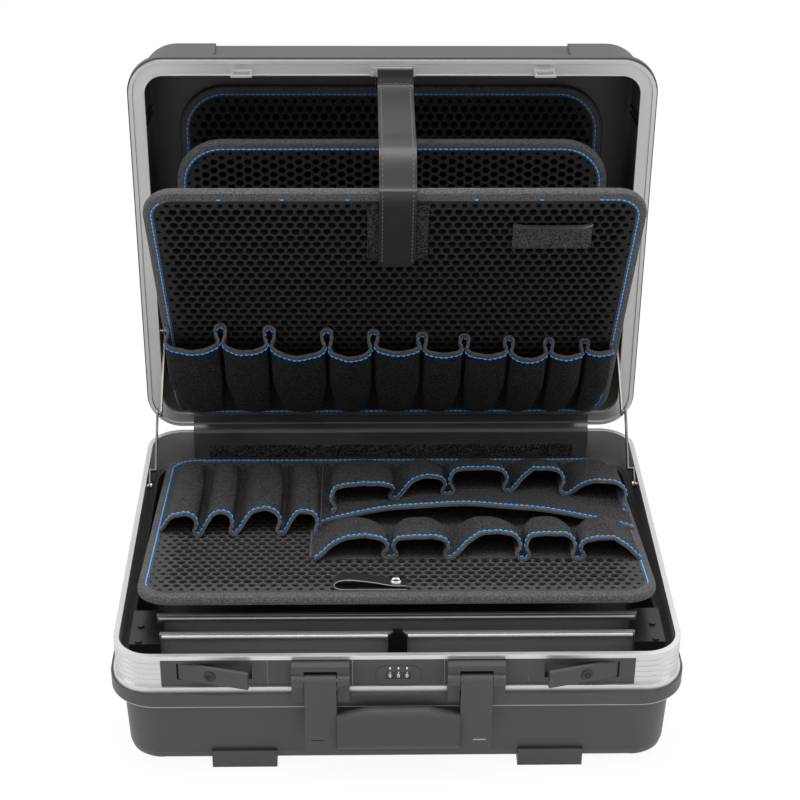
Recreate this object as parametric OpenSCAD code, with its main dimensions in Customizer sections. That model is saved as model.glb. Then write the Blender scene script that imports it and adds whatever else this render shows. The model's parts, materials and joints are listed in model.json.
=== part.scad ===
// Hard tool case: ABS base and lid shells in aluminium frames, with perforated tool boards.
// X runs across the case, Y runs back from the front, Z is up. The lid stands open at a right angle.

/* [Base] */
// width across the aluminium frame
case_width = 490; // [480:1:500]
// depth of the base frame, front to back
base_depth = 386; // [380:1:392]
// height from the underside of the base shell to the rim
shell_height = 118; // [116:1:150]
// wall thickness of both shells
shell_wall = 3; // [2.5:0.25:3.5]
// height of the aluminium frame of the base
frame_height = 36.7; // [36:0.1:38]
// wall thickness of the aluminium frame of the base
frame_wall = 4.7; // [4.5:0.1:5.2]
// outer corner radius of the frame
frame_radius = 33; // [31:1:35]
// height of the lip at the lower edge of the frame
lip_height = 5.7; // [5:0.1:6]
// projection of that lip
lip_proud = 2; // [1:0.25:2.5]
// number of flutes round the frame
flute_count = 5; // [3:1:6]
// share of the flute spacing that stays proud
flute_land = 0.3; // [0.2:0.05:0.5]
// depth of one flute
flute_depth = 0.6; // [0.3:0.1:0.8]
// height of the shell flange under the frame
flange_height = 13.3; // [12:0.1:14]
// projection of the shell flange past the frame
flange_proud = 5; // [4:0.25:6]
// corner radius of the shell flange
flange_radius = 42; // [38:1:45]
// distance from the flange back to the shell wall
wall_inset = 10; // [9:0.5:11]
// inward lean of the base wall, top to bottom
wall_draft = 2.5; // [1:0.25:3]
// rounding of the lower edge of the base shell
base_round = 12; // [8:1:14]
// extra drop of the four corner pads
pad_drop = 3; // [1:0.5:4]
// length of a corner pad across, from the frame end
pad_length_x = 39; // [33:1:45]
// length of a corner pad front to back, from the frame
pad_length_y = 43; // [35:1:53]

/* [Feet] */
// distance from the frame end to the centre of a foot
foot_inset = 110.5; // [105:0.5:115]
// length of a foot
foot_length = 57; // [50:1:60]
// height of a foot
foot_height = 18; // [15:0.5:20]
// drop of the feet below the underside of the shell
foot_drop = 6; // [4:0.5:8]
// depth of a foot
foot_depth = 24; // [20:1:28]
// distance from the frame front to the face of a foot
foot_back = 4.5; // [3:0.5:6]

/* [Front panels] */
// height of the solid bead above the panels
bead_height = 3.8; // [3.5:0.1:4.2]
// thickness of the front panels
panel_thickness = 1.5; // [1.2:0.1:1.6]
// half the length of the centre panel
panel_split_a = 39.2; // [38:0.2:39.4]
// distance from the frame end to the further edge of the lock plate
plate_far = 133.1; // [132:0.1:134]
// distance from the frame end to the nearer edge of the lock plate
plate_near = 42.4; // [41:0.1:44]
// gap between neighbouring panels
panel_gap = 0.4; // [0.2:0.1:0.6]

/* [Locks] */
// distance from the frame end to the lever recess
recess_inset = 56; // [55:0.5:56.5]
// length of the lever recess
recess_length = 64; // [63:0.5:65]
// upper edge of the lever recess, below the rim
recess_top = 7.5; // [7:0.1:8]
// height of the lever recess
recess_height = 16.5; // [16.5:0.1:17]
// depth of the lever tray
tray_depth = 6.2; // [6.2:0.1:6.8]
// wall thickness of the lever tray
tray_wall = 1; // [0.8:0.1:1.2]
// thickness of the lever
lever_thickness = 3.8; // [3.4:0.1:3.9]
// angle at which the lever stands open at rest
lever_rest = 15; // [10:1:18]
// radius of the lever barrel
lever_barrel = 2.5; // [2.4:0.05:2.6]
// radius of the lever pin
lever_pin = 1; // [0.8:0.1:1.2]
// diameter of the key cylinder
key_diameter = 11; // [10:0.5:12]
// distance from the frame end to the key cylinder
key_inset = 86; // [83:0.5:90]
// length of the keyhole
key_slot = 5.5; // [4:0.5:7]
// width of the keyhole
key_slot_width = 1.1; // [0.8:0.1:1.4]

/* [Combination dials] */
// radius of a dial
dial_radius = 6; // [5.8:0.1:6.1]
// width of a dial
dial_width = 5.4; // [5:0.1:5.6]
// spacing of the dials
dial_pitch = 7.25; // [7.1:0.05:7.5]
// depth of the dial axis behind the panel face
dial_depth = 4.7; // [4.6:0.05:4.8]
// distance of the dial axis below the rim
dial_drop = 20.2; // [20:0.1:20.4]
// half the rib between two dials
dial_rib = 0.6; // [0.4:0.05:0.7]
// wall left over each end of the dial axle
axle_end = 0.2; // [0.2:0.05:0.5]
// radius of the dial axle
axle_radius = 1; // [0.8:0.1:1.2]
// length of the raised surround
surround_length = 39; // [37:1:41]
// height of the raised surround
surround_height = 20; // [18:0.5:20.4]
// half the flat at each end of the surround
surround_flat = 1; // [0.5:0.25:3]
// projection of the surround
surround_proud = 0.6; // [0.3:0.1:0.8]

/* [Handle] */
// distance from the middle to the centre of a bracket
bracket_x = 66.5; // [66:0.25:67]
// width of a bracket
bracket_width = 49.4; // [48:0.2:50]
// width of one bracket leg
bracket_leg = 10.6; // [10:0.1:11]
// distance from the rim to the top of a bracket
bracket_top = 5; // [4.5:0.1:5.5]
// height of a bracket
bracket_height = 37.3; // [36:0.1:38]
// height of the bar that joins the legs
bracket_bar = 5; // [4:0.25:5.5]
// projection of a bracket in front of the panels
bracket_proud = 9; // [8.5:0.25:10]
// distance of the handle axis in front of the frame
handle_out = 8; // [7.5:0.25:8.5]
// distance of the handle axis below the rim
handle_drop = 19.5; // [19:0.25:20]
// radius of the barrel of a handle arm
barrel_radius = 6; // [5.5:0.25:6]
// radius of a handle pin
handle_pin = 1.5; // [1.2:0.1:2]
// thickness of a handle arm
arm_thickness = 4; // [3:0.25:4.5]
// length of a handle arm below its axis
arm_length = 74.5; // [70:0.5:78]
// clearance between the grip and the inner legs of the brackets
grip_gap = 0.6; // [0.4:0.1:1]
// height of the grip
grip_height = 36; // [32:0.5:38]
// rise of the grip in its middle
grip_rise = 6.6; // [4:0.2:8]
// distance from the handle axis to the lower edge of the grip
grip_low = 69.5; // [68:0.5:71]
// thickness of the grip
grip_thickness = 14; // [12:0.5:15]

/* [Hinge] */
// distance of the hinge axis behind the base frame
hinge_back = 2.6; // [2.5:0.05:2.8]
// height of the hinge axis above the rim
hinge_up = 1.1; // [1:0.05:1.3]
// distance from the frame end to the piano hinge
hinge_inset = 45; // [40:1:65]
// number of knuckles
knuckle_count = 16; // [8:2:24]
// radius of a knuckle
knuckle_radius = 2; // [1.9:0.05:2.1]
// radius of the hinge pin
hinge_pin_radius = 1.2; // [1:0.05:1.3]
// thickness of the hinge leaves
leaf_thickness = 1.2; // [1:0.05:1.3]
// height of the base leaf
leaf_height = 22; // [18:1:24]
// gap between the closed rims
rim_gap = 0.3; // [0.2:0.05:0.5]
// overhang of the lid past the base frame, all round
lid_over = 0.5; // [0.2:0.1:1]

/* [Lid] */
// depth of the closed lid
lid_depth = 75; // [74:0.5:90]
// width of the rim of the lid frame
rim_width = 15; // [14:0.25:15]
// thickness of the rim of the lid frame
rim_thickness = 3.5; // [3:0.25:4]
// width of the outer bead of the rim
rim_bead = 3.6; // [3:0.2:4]
// width of the inner bead of the rim
rim_inner = 1.2; // [1:0.1:1.5]
// depth of the recess between the beads
rim_recess = 1.5; // [1:0.1:2]
// height of the lid shell flange
lid_flange = 7; // [6:0.25:8]
// projection of the lid shell flange
lid_flange_proud = 1.5; // [1:0.1:2]
// distance from the frame edge to the lid shell wall
lid_inset = 9; // [8.5:0.25:10]
// outer corner radius of the lid shell body
lid_body_radius = 33; // [30:1:36]
// rounding of the closed top edge of the lid
lid_round = 8; // [6:1:10]
// projection of the corner pads of the lid
lid_pad = 3; // [1:0.5:4]
// length of the lid pads, from the edge of the lid frame
lid_pad_length = 78.5; // [70:0.5:84]
// length of the bare badge plate
badge_length = 56; // [50:1:60]
// width of the bare badge plate
badge_width = 20; // [16:1:22]
// thickness of the badge plate
badge_thickness = 0.8; // [0.6:0.1:1]
// distance from the lid rim to the badge plate
badge_depth = 20; // [18:1:24]
// distance from the frame end to a striker
striker_inset = 105.5; // [104:0.5:107]
// width of a striker
striker_width = 19.6; // [18:0.2:21]
// reach of a striker out of the lid
striker_reach = 14; // [12:0.5:14]
// wire size of a striker
striker_wire = 2.4; // [2:0.1:2.6]
// thickness of the plate of a striker
striker_plate = 1; // [0.8:0.1:1.2]
// distance of a striker from the front edge of the lid
striker_edge = 10.5; // [10:0.1:11]
// half the length of the strap anchor
anchor_half = 20.6; // [19:0.2:22]

/* [Boards] */
// thickness of a tool board with its binding
board_thickness = 7; // [6:0.25:7]
// clearance between the frame ends and the base board
base_board_side = 19; // [19:0.5:22]
// depth of the base frame that the base board leaves free
base_board_free = 60; // [58:1:64]
// corner radius of the base board
base_board_radius = 30; // [24:1:34]
// upward tilt of the base board at rest
base_board_tilt = 9.4; // [9:0.1:9.8]
// distance from the rear frame face to the pivot of the base board
base_board_back = 21.9; // [21:0.1:23]
// distance of that pivot below the rim
base_board_drop = 23; // [22.5:0.1:23.5]
// distance of the flap root below the rim
base_flap_drop = 31; // [30.5:0.1:32]
// thickness of the flexible flaps
flap_thickness = 1.6; // [1.2:0.1:1.8]
// distance from the frame ends to the flexible flaps
flap_inset = 55; // [47:1:65]
// distance from the frame ends to the upper corners of the front lid board
front_board_side = 21; // [20:0.5:23]
// distance from the frame ends to its lower corners
front_board_foot = 32; // [30:0.5:35]
// height of the lid that the front lid board leaves free
front_board_free = 80; // [77:1:87]
// corner radius of the front lid board
front_board_radius = 28; // [24:1:32]
// forward lean of the front lid board at rest
front_board_lean = 21.5; // [20.5:0.25:22]
// distance from the lid rim forward to the lower edge of the front lid board
front_board_out = 31.8; // [31:0.2:33]
// height of that edge above the lower edge of the lid
front_board_up = 36.3; // [35.5:0.2:37]
// distance from the lid frame ends to the other lid boards
lid_board_side = 39.5; // [38.5:0.5:43.5]
// corner radius of the other lid boards
lid_board_radius = 45; // [38:1:48]
// distance from the top of the lid to the back lid board
back_board_gap = 48.7; // [44:0.1:54]
// height of the lid that the middle lid board leaves free
middle_board_free = 86; // [83:1:91]
// lean of the middle lid board at rest
middle_board_lean = 9.5; // [9:0.25:10]
// distance from the lid rim to the pivot of the middle board
middle_board_depth = 57.5; // [57:0.25:58]

/* [Pockets] */
// thickness of the pocket fabric
fabric = 1.6; // [1.2:0.1:1.8]
// swell of a lid pocket at its mouth
lid_pocket_swell = 17; // [14:0.5:18]
// swell of a pocket at its closed end
pocket_swell_low = 7; // [6:0.5:8]
// depth of the lid pockets
lid_pocket_depth = 108; // [100:1:110]
// distance from the lower board edge to the lid pockets
lid_pocket_low = 9; // [8:0.5:10]
// distance from the lower corners of the board to the end pockets
lid_pocket_side = 0.35; // [0:0.05:1]
// widths of the ten lid pockets, in proportion to one another
lid_pocket_widths = [51.5, 42, 51.5, 40.5, 43, 37, 39.5, 35, 31, 25.5];
// gap between neighbouring lid pockets
lid_pocket_gap = 3.2; // [2.6:0.1:3.4]
// swell of a base pocket at its mouth
base_pocket_swell = 18; // [14:0.5:18]
// distance from the front board edge to the mouths of the four left pockets
left_mouth = 131; // [126:1:136]
// distance from the left board edge to the left pockets
left_margin = 8; // [6:0.5:9]
// width of the row of left pockets
left_row_width = 141.8; // [136:0.2:142]
// widths of the four left pockets, in proportion to one another
left_widths = [31, 26, 37.5, 27.5];
// gap between the left pockets
left_gap = 6.6; // [5:0.2:7]
// distance from the front board edge to the mouths of the rear row
rear_mouth = 205; // [200:1:208]
// widths of the five rear pockets, in proportion to one another
rear_widths = [58, 43.5, 54.5, 47.5, 50];
// gap between the rear pockets
rear_gap = 6.6; // [5:0.2:7]
// distance from the left end of the backing cloth to the rear pockets
rear_start = 12; // [10:0.5:14]
// distance from its right end to the rear pockets
rear_end = 3.1; // [2:0.1:5]
// distance from the front board edge to the mouths of the front row
row_mouth = 75; // [72:1:78]
// depth of the front row of pockets
row_depth = 62; // [58:1:64]
// widths of the five front pockets, in proportion to one another
row_widths = [62.5, 47.5, 58.5, 42, 51.5];
// gap between the front pockets
row_gap = 6.6; // [5:0.2:7]
// distance from the right end of the backing cloth to the front pockets
row_end = 6.6; // [5:0.2:8]
// distance from the front board edge to the free edge of the cover flap
flap_mouth = 146; // [144:1:148]
// swell of the free edge of the cover flap
flap_swell = 20; // [16:0.5:20]
// gap between the left pockets and the backing cloth
block_gap = 3.2; // [2:0.2:5]
// distance from the backing cloth to the right board edge
block_margin = 4; // [3:0.5:6]
// distance from the rear board edge to the closed pocket ends
pocket_rear = 24; // [22:1:26]
// width of the label pocket
label_width = 71; // [66:1:74]
// height of the label pocket
label_height = 31; // [28:1:33]
// swell of the label pocket
label_swell = 6; // [5.6:0.1:6.5]
// distance from the frame end to the label pocket
label_side = 69; // [64:1:74]
// distance from the upper board edge down to the foot of the label pocket
label_drop = 68.4; // [67:0.2:71]
// width of the hook patch under the strap
patch_width = 55; // [50:1:58]
// height of that patch
patch_height = 68; // [60:1:70]
// distance from the upper board edge down to the foot of that patch
patch_drop = 82; // [79:1:85]
// sideways distance of the strap on the board
strap_offset = 2; // [0:0.5:4]
// width of the strap
strap_width = 33; // [30:0.5:35]
// thickness of the strap
strap_thickness = 2.2; // [1.8:0.1:2.4]
// length of the stiff root of the strap under its anchor
root_length = 14; // [10:0.5:15]
// length of the strap on the front board
strap_tail = 88; // [80:1:90]
// distance of the pull tab to the left of the middle
tab_x = 22; // [16:1:28]
// distance of the pull tab from the front board edge
tab_y = 22; // [18:1:26]
// length of the pull tab
tab_length = 63; // [56:1:66]
// width of the pull tab
tab_width = 14; // [12:0.5:15]
// diameter of the snap button
snap_diameter = 10; // [8:0.5:12]
// height of the snap button
snap_height = 2; // [1.5:0.1:3]
// distance from the end of the pull tab to the snap button
snap_inset = 10; // [7:0.5:12]

/* [Dividers] */
// distance from the frame front to the front divider
divider_front_y = 38.6; // [38:0.2:39]
// distance from the frame front to the rear divider
divider_rear_y = 66.5; // [66:0.2:67]
// thickness of a divider plate
divider_thickness = 2; // [1.6:0.1:2]
// thickness of the bead along a divider
divider_bead = 3.4; // [2.8:0.1:3.4]
// height of that bead
divider_bead_height = 8; // [6:0.5:9]
// distance of the divider edges below the rim
divider_top = 3; // [3:0.1:3.5]
// distance from the frame ends to the front divider
divider_front_inset = 39; // [38:0.5:40]
// distance from the frame ends to the rear divider
divider_rear_inset = 34; // [33:0.5:35]
// distance from the frame ends to the nearer faces of the divider holders
holder_inset = 40; // [40:0.25:40.5]
// width of a divider holder
holder_width = 27; // [24:0.5:27]
// front face of a holder, from the frame front
holder_y = 28; // [26:0.5:29]
// depth of a holder
holder_depth = 50; // [48:0.5:54]
// wall thickness of a divider holder
holder_wall = 3; // [2.5:0.25:4]
// distance of the holder top below the rim
holder_top = 7; // [6:0.5:10]
// width of the clip on the front divider
clip_width = 16.6; // [14:0.2:18]
// height of that clip
clip_height = 26; // [22:0.5:28]
// thickness of that clip
clip_thickness = 2.4; // [2:0.1:2.6]
// diameter of a holder screw head
screw_diameter = 6; // [5:0.25:7]
// height of a holder screw head
screw_height = 1.6; // [1.2:0.1:2]
// distance from the front of a holder to its front screw
screw_front = 4; // [4:0.25:5]
// distance from the rear divider to the rear screw
screw_rear = 12; // [11:0.5:13]
// distance from the outer end of a holder to its screws
screw_side = 8; // [6:0.5:10]

/* [Lid stays] */
// distance from the rear frame face to the base pivot of a stay
stay_back = 96; // [95:0.5:97]
// distance of that pivot below the rim
stay_drop = 8; // [7.5:0.25:8.5]
// length of the lower link
stay_lower = 74; // [73:0.25:75]
// angle of the lower link at rest
stay_angle = 45; // [44:0.5:46]
// depth of the lid pivot of a stay
stay_lid_depth = 32; // [31:0.25:33]
// height of the lid pivot of a stay
stay_lid_up = 92; // [91:0.25:93]
// width of a stay link
stay_width = 9; // [7:0.5:10]
// thickness of a stay link
stay_thickness = 1.5; // [1.2:0.1:1.6]
// distance from the frame end to the upper link
stay_upper_inset = 17.6; // [17.4:0.1:17.8]
// distance from the frame end to the lower link
stay_lower_inset = 13.6; // [13.4:0.1:13.8]
// outward step of the lower link at its pivot
stay_step = 5.6; // [5:0.1:6]
// radius of a stay rivet
rivet_radius = 2; // [1.6:0.1:2.2]
// radius of its head
rivet_head_radius = 3.2; // [2.8:0.1:3.6]
// height of its head
rivet_head = 1.5; // [1:0.1:1.6]

/* [Hinge cover] */
// distance from the frame ends to the hinge cover
cover_inset = 44; // [40:1:49]
// thickness of the hinge cover
cover_thickness = 1.2; // [1:0.1:1.3]
// distance from the frame ends to the velcro strip
velcro_inset = 58; // [55:1:65]
// height of the velcro strip
velcro_height = 17; // [15:0.5:18]
// thickness of the velcro strip
velcro_thickness = 1.2; // [1:0.1:1.5]

/* [Hidden] */
$fn = 48;
fit = 0.05;
slack = 0.3;
hair = 0.01;
far = 700;
shell_black = "#26272a";
frame_silver = "#c9cbcd";
panel_black = "#2b2c2e";
steel = "#b7b9bc";
foam_black = "#2a2a2c";
cloth_black = "#1d1d1f";
half_width = case_width / 2;
base_height = shell_height + foot_drop;
pad_gap_x = half_width - pad_length_x;
pad_gap_y = base_depth / 2 - pad_length_y;
foot_x = half_width - foot_inset;
panel_split_b = half_width - plate_far;
panel_end = half_width - plate_near;
recess_end = half_width - recess_inset;
recess_start = recess_end - recess_length;
key_x = half_width - key_inset;
hinge_half = half_width - hinge_inset;
cover_half = half_width - cover_inset;
velcro_half = half_width - velcro_inset;
striker_x = half_width - striker_inset;
stay_upper_x = half_width - stay_upper_inset;
stay_lower_x = half_width - stay_lower_inset;
divider_front_half = half_width - divider_front_inset;
divider_rear_half = half_width - divider_rear_inset;
holder_x = half_width - holder_inset;
lid_width = case_width + 2 * lid_over;
lid_height = base_depth + 2 * lid_over;
lid_pad_x = lid_width / 2 - lid_pad_length;
lid_pad_y = lid_height / 2 - lid_pad_length;
flange_width = case_width + 2 * flange_proud;
flange_depth = base_depth + 2 * flange_proud;
flange_low = frame_height + flange_height;
wall_width = flange_width - 2 * wall_inset;
wall_depth = flange_depth - 2 * wall_inset;
wall_radius = flange_radius - wall_inset;
shell_bottom = shell_height + pad_drop;
panel_height = frame_height - lip_height - bead_height;
panel_low = bead_height + panel_height;
hinge_y = base_depth + hinge_back;
lid_y = hinge_y - hinge_up + rim_gap;
lid_z = hinge_up + hinge_back - lid_over;
grip_half = bracket_x - bracket_width / 2 + bracket_leg + grip_gap;
grip_front = handle_out + barrel_radius + (grip_thickness - arm_thickness) / 2;
back_end = lid_y + lid_depth;
mid_y = (back_end - grip_front) / 2;
knuckle_length = 2 * hinge_half / knuckle_count;
half_board = board_thickness / 2;
floor_z = -shell_height + shell_wall;
lid_inner_low = lid_inset + shell_wall;
lid_body_width = lid_width - 2 * lid_inset;
lid_body_height = lid_height - 2 * lid_inset;
recess_low = recess_top + recess_height;
lever_pin_x = recess_end - tray_wall / 2 - lever_barrel;
lever_pin_y = tray_depth - tray_wall - lever_barrel - fit;
lever_start = recess_start + slack;
lever_z = -recess_top - recess_height / 2;
lever_height = recess_height - 2 * slack;
front_board_y = -front_board_out;
middle_pivot_up = lid_inner_low + half_board + slack;
flap_root_n = rim_bead / 2;
flap_root_h = rim_width + slack + flap_thickness / 2;
flap_dy = -front_board_out - flap_root_n;
flap_dz = front_board_up - flap_root_h;
flap_reach = sqrt(flap_dy * flap_dy + flap_dz * flap_dz);
flap_angle = atan2(flap_dz, flap_dy);
base_pivot_y = base_depth + slack - base_board_back - frame_wall;
base_root_y = base_depth - frame_wall - slack - flap_thickness / 2;
base_flap_dy = base_pivot_y - base_root_y;
base_flap_dz = base_flap_drop - base_board_drop;
base_flap_reach = sqrt(base_flap_dy * base_flap_dy + base_flap_dz * base_flap_dz);
base_flap_angle = atan2(base_flap_dz, base_flap_dy);
stay_pivot_y = base_depth - stay_back;
stay_elbow_y = stay_pivot_y + stay_lower * cos(stay_angle);
stay_elbow_z = stay_lower * sin(stay_angle) - stay_drop;
stay_lid_y = lid_y + stay_lid_depth;
stay_lid_z = lid_z + stay_lid_up;
stay_dy = stay_lid_y - stay_elbow_y;
stay_dz = stay_lid_z - stay_elbow_z;
stay_upper = sqrt(stay_dy * stay_dy + stay_dz * stay_dz);
stay_upper_angle = atan2(stay_dz, stay_dy);
stay_bend = 16;
cover_low = 1.5 - base_flap_drop;
pin_seat = 1;
anchor_face = 0.5;
anchor_leg = 3;
root_lean = 20;
plate_low = 3.1;
plate_high = 4;
holder_end = holder_x + holder_width;
base_board_width = case_width - 2 * base_board_side;
base_board_length = base_depth - base_board_free;
flap_length = case_width - 2 * flap_inset;
front_board_top = case_width - 2 * front_board_side;
front_board_bottom = case_width - 2 * front_board_foot;
front_board_height = lid_height - front_board_free;
lid_board_width = lid_width - 2 * lid_board_side;
back_board_low = lid_inner_low + lid_round - shell_wall + slack;
back_board_height = lid_height - back_board_gap - back_board_low;
middle_board_height = lid_height - middle_board_free;
label_x = half_width - label_side - label_width;
label_low = front_board_height - label_drop;
patch_low = front_board_height - patch_drop;
lid_row_width = front_board_bottom - 2 * lid_pocket_side;
left_start = left_margin - base_board_width / 2;
block_start = left_start + left_row_width + block_gap;
block_width = base_board_width / 2 - block_margin - block_start;
rear_row_width = block_width - rear_start - rear_end;
front_row_width = block_width - row_end;

// ---- placing and shared shapes ----

module case_place() {
  translate([0, -mid_y, base_height])
    children();
}

module lid_place() {
  case_place()
    translate([0, lid_y, lid_z])
      children();
}

// drawn with X across, Y up the lid and -Z into the lid
module lid_face() {
  lid_place()
    translate([0, 0, lid_height / 2])
      rotate([90, 0, 0])
        children();
}

// centre of the base, in plan
module base_plan() {
  case_place()
    translate([0, base_depth / 2, 0])
      children();
}

module both() {
  children();
  mirror([1, 0, 0])
    children();
}

module block(x, y, z) {
  translate([x[0], y[0], z[0]])
    cube([x[1] - x[0], y[1] - y[0], z[1] - z[0]]);
}

module rounded(x, y, r) {
  square([x - 2 * r, y], center = true);
  square([x, y - 2 * r], center = true);
  for (i = [-1, 1])
    for (j = [-1, 1])
      translate([i * (x / 2 - r), j * (y / 2 - r)])
        circle(r);
}

module slab(x, y, r, top, low) {
  translate([0, 0, low])
    linear_extrude(top - low)
      rounded(x, y, r);
}

module ring(x, y, r, wall, top, low) {
  translate([0, 0, low])
    linear_extrude(top - low)
      difference() {
        rounded(x, y, r);
        rounded(x - 2 * wall, y - 2 * wall, r - wall);
      }
}

module tub(x, y, r, top, low, draft, edge) {
  hull() {
    translate([0, 0, top - hair])
      linear_extrude(hair)
        rounded(x, y, r);
    for (a = [0, 30, 60, 90]) {
      inset = draft + edge * (1 - cos(a));
      translate([0, 0, low + edge * (1 - sin(a))])
        linear_extrude(hair)
          rounded(x - 2 * inset, y - 2 * inset, max(r - inset, 2));
    }
  }
}

// straight-walled tub with a rounded lower edge
module upright_tub(x, y, r, top, low, edge) {
  slab(x, y, r, top, low + edge);
  hull()
    for (a = [0, 30, 60, 90]) {
      inset = edge * (1 - cos(a));
      translate([0, 0, low + edge * (1 - sin(a))])
        linear_extrude(hair)
          rounded(x - 2 * inset, y - 2 * inset, r - inset);
    }
}

module bar_x(r, from, to) {
  translate([from, 0, 0])
    rotate([0, 90, 0])
      cylinder(r = r, h = to - from);
}

// side profile drawn with X as depth and Y as height, extruded across the case
module across(from, to) {
  translate([from, 0, 0])
    rotate([90, 0, 90])
      linear_extrude(to - from)
        children();
}

// ---- base ----

module base_outer() {
  base_plan()
    tub(wall_width, wall_depth, wall_radius, -flange_low + 1, -shell_bottom, wall_draft, base_round);
}

module base_shell() {
  color(shell_black)
    difference() {
      union() {
        base_plan()
          slab(flange_width, flange_depth, flange_radius, -frame_height, -flange_low);
        base_outer();
      }
      base_plan()
        tub(
          wall_width - 2 * shell_wall, wall_depth - 2 * shell_wall, wall_radius - shell_wall,
          1, floor_z, wall_draft, base_round - shell_wall
        );
      base_plan()
        block([-pad_gap_x, pad_gap_x], [-far, far], [-far, -shell_height]);
      base_plan()
        block([-far, far], [-pad_gap_y, pad_gap_y], [-far, -shell_height]);
    }
}

module frame_lip() {
  base_plan()
    ring(
      case_width + 2 * lip_proud, base_depth + 2 * lip_proud, frame_radius + lip_proud,
      frame_wall + lip_proud, lip_height - frame_height, -frame_height
    );
}

module frame_flutes() {
  step = panel_height / flute_count;
  for (i = [0:flute_count - 1])
    base_plan()
      ring(
        case_width + 2, base_depth + 2, frame_radius + 1, flute_depth + 1,
        -bead_height - i * step, step * flute_land - bead_height - (i + 1) * step
      );
}

module base_frame() {
  color(frame_silver)
    difference() {
      union() {
        base_plan()
          ring(case_width, base_depth, frame_radius, frame_wall, 0, -frame_height);
        frame_lip();
      }
      frame_flutes();
      case_place()
        block([-panel_end, panel_end], [-lip_proud, panel_thickness], [-panel_low, -bead_height]);
      case_place()
        both()
          block(
            [recess_start - tray_wall, recess_end + tray_wall], [0, frame_wall + 1],
            [-recess_low - tray_wall, tray_wall - recess_top]
          );
      case_place()
        block(
          [-dial_box_half(), dial_box_half()], [0, frame_wall + 1],
          [-dial_drop - dial_box_high(), dial_box_high() - dial_drop]
        );
    }
}

function dial_box_inner() = 1.5 * dial_pitch + slack;
function dial_box_half() = dial_box_inner() + tray_wall;
function dial_box_high() = dial_radius + slack + tray_wall;

module foot_block() {
  block(
    [foot_x - foot_length / 2, foot_x + foot_length / 2],
    [foot_back, foot_back + foot_depth], [-base_height, foot_height - base_height]
  );
}

module foot_pair() {
  both()
    foot_block();
}

module feet() {
  color(panel_black)
    difference() {
      case_place() {
        foot_pair();
        translate([0, base_depth, 0])
          mirror([0, 1, 0])
            foot_pair();
      }
      difference() {
        base_outer();
        base_plan()
          block([-pad_gap_x, pad_gap_x], [-far, far], [-far, -shell_height]);
      }
    }
}

// ---- front panels ----

module panel(from, to) {
  block([from + panel_gap / 2, to - panel_gap / 2], [0, panel_thickness], [-panel_low, -bead_height]);
}

module tray_walls() {
  block(
    [recess_start - tray_wall, recess_end + tray_wall], [0, tray_depth],
    [-recess_low - tray_wall, tray_wall - recess_top]
  );
}

module lock_plate() {
  difference() {
    union() {
      panel(panel_split_b, panel_end);
      tray_walls();
    }
    block([recess_start, recess_end], [-1, tray_depth - tray_wall], [-recess_low, -recess_top]);
    translate([lever_pin_x, lever_pin_y, -recess_low - tray_wall / 2])
      cylinder(r = lever_pin, h = recess_height + tray_wall);
  }
}

module lock_plate_right() {
  color(panel_black)
    case_place()
      lock_plate();
}

module lock_plate_left() {
  color(panel_black)
    case_place()
      mirror([1, 0, 0])
        lock_plate();
}

module panel_right() {
  color(panel_black)
    case_place()
      panel(panel_split_a, panel_split_b);
}

module panel_left() {
  color(panel_black)
    case_place()
      mirror([1, 0, 0])
        panel(panel_split_a, panel_split_b);
}

module dial_place(i) {
  case_place()
    translate([i * dial_pitch, dial_depth, -dial_drop])
      children();
}

module panel_centre() {
  rear = dial_depth + dial_radius + slack;
  color(panel_black)
    difference() {
      union() {
        case_place()
          panel(-panel_split_a, panel_split_a);
        case_place()
          translate([0, hair, -dial_drop])
            rotate([90, 0, 0])
              linear_extrude(surround_proud)
                rounded(surround_length, surround_height, surround_height / 2 - surround_flat);
        case_place()
          block(
            [-dial_box_half(), dial_box_half()], [hair, rear + tray_wall],
            [-dial_drop - dial_box_high(), dial_box_high() - dial_drop]
          );
      }
      case_place()
        block(
          [-dial_box_inner(), dial_box_inner()], [panel_thickness, rear],
          [-dial_drop - dial_radius - slack, dial_radius + slack - dial_drop]
        );
      for (i = [-1, 0, 1])
        dial_place(i)
          bar_x(dial_radius + slack, dial_rib - dial_pitch / 2, dial_pitch / 2 - dial_rib);
      dial_place(0)
        bar_x(axle_radius, axle_end - dial_box_half(), dial_box_half() - axle_end);
    }
}

module dial(i) {
  color(panel_black)
    dial_place(i)
      difference() {
        bar_x(dial_radius, -dial_width / 2, dial_width / 2);
        bar_x(axle_radius + fit, -dial_width, dial_width);
      }
}

module dial_1() {
  dial(-1);
}

module dial_2() {
  dial(0);
}

module dial_3() {
  dial(1);
}

module dial_axle() {
  color(steel)
    dial_place(0)
      bar_x(axle_radius, axle_end - dial_box_half(), dial_box_half() - axle_end);
}

// ---- locks ----

module lever_turn() {
  case_place()
    translate([lever_pin_x, lever_pin_y, 0])
      rotate([0, 0, lever_rest])
        translate([-lever_pin_x, -lever_pin_y, 0])
          children();
}

module lever() {
  difference() {
    union() {
      block(
        [lever_start, lever_pin_x], [slack / 2, lever_thickness],
        [lever_z - lever_height / 2, lever_z + lever_height / 2]
      );
      translate([lever_pin_x, lever_pin_y, lever_z - lever_height / 2])
        cylinder(r = lever_barrel, h = lever_height);
    }
    translate([lever_pin_x, lever_pin_y, lever_z - lever_height])
      cylinder(r = lever_pin + fit, h = 2 * lever_height);
    key_axis()
      cylinder(r = key_diameter / 2 + fit, h = 3 * lever_thickness, center = true);
  }
}

module key_axis() {
  translate([key_x, lever_thickness / 2, lever_z])
    rotate([90, 0, 0])
      children();
}

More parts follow.
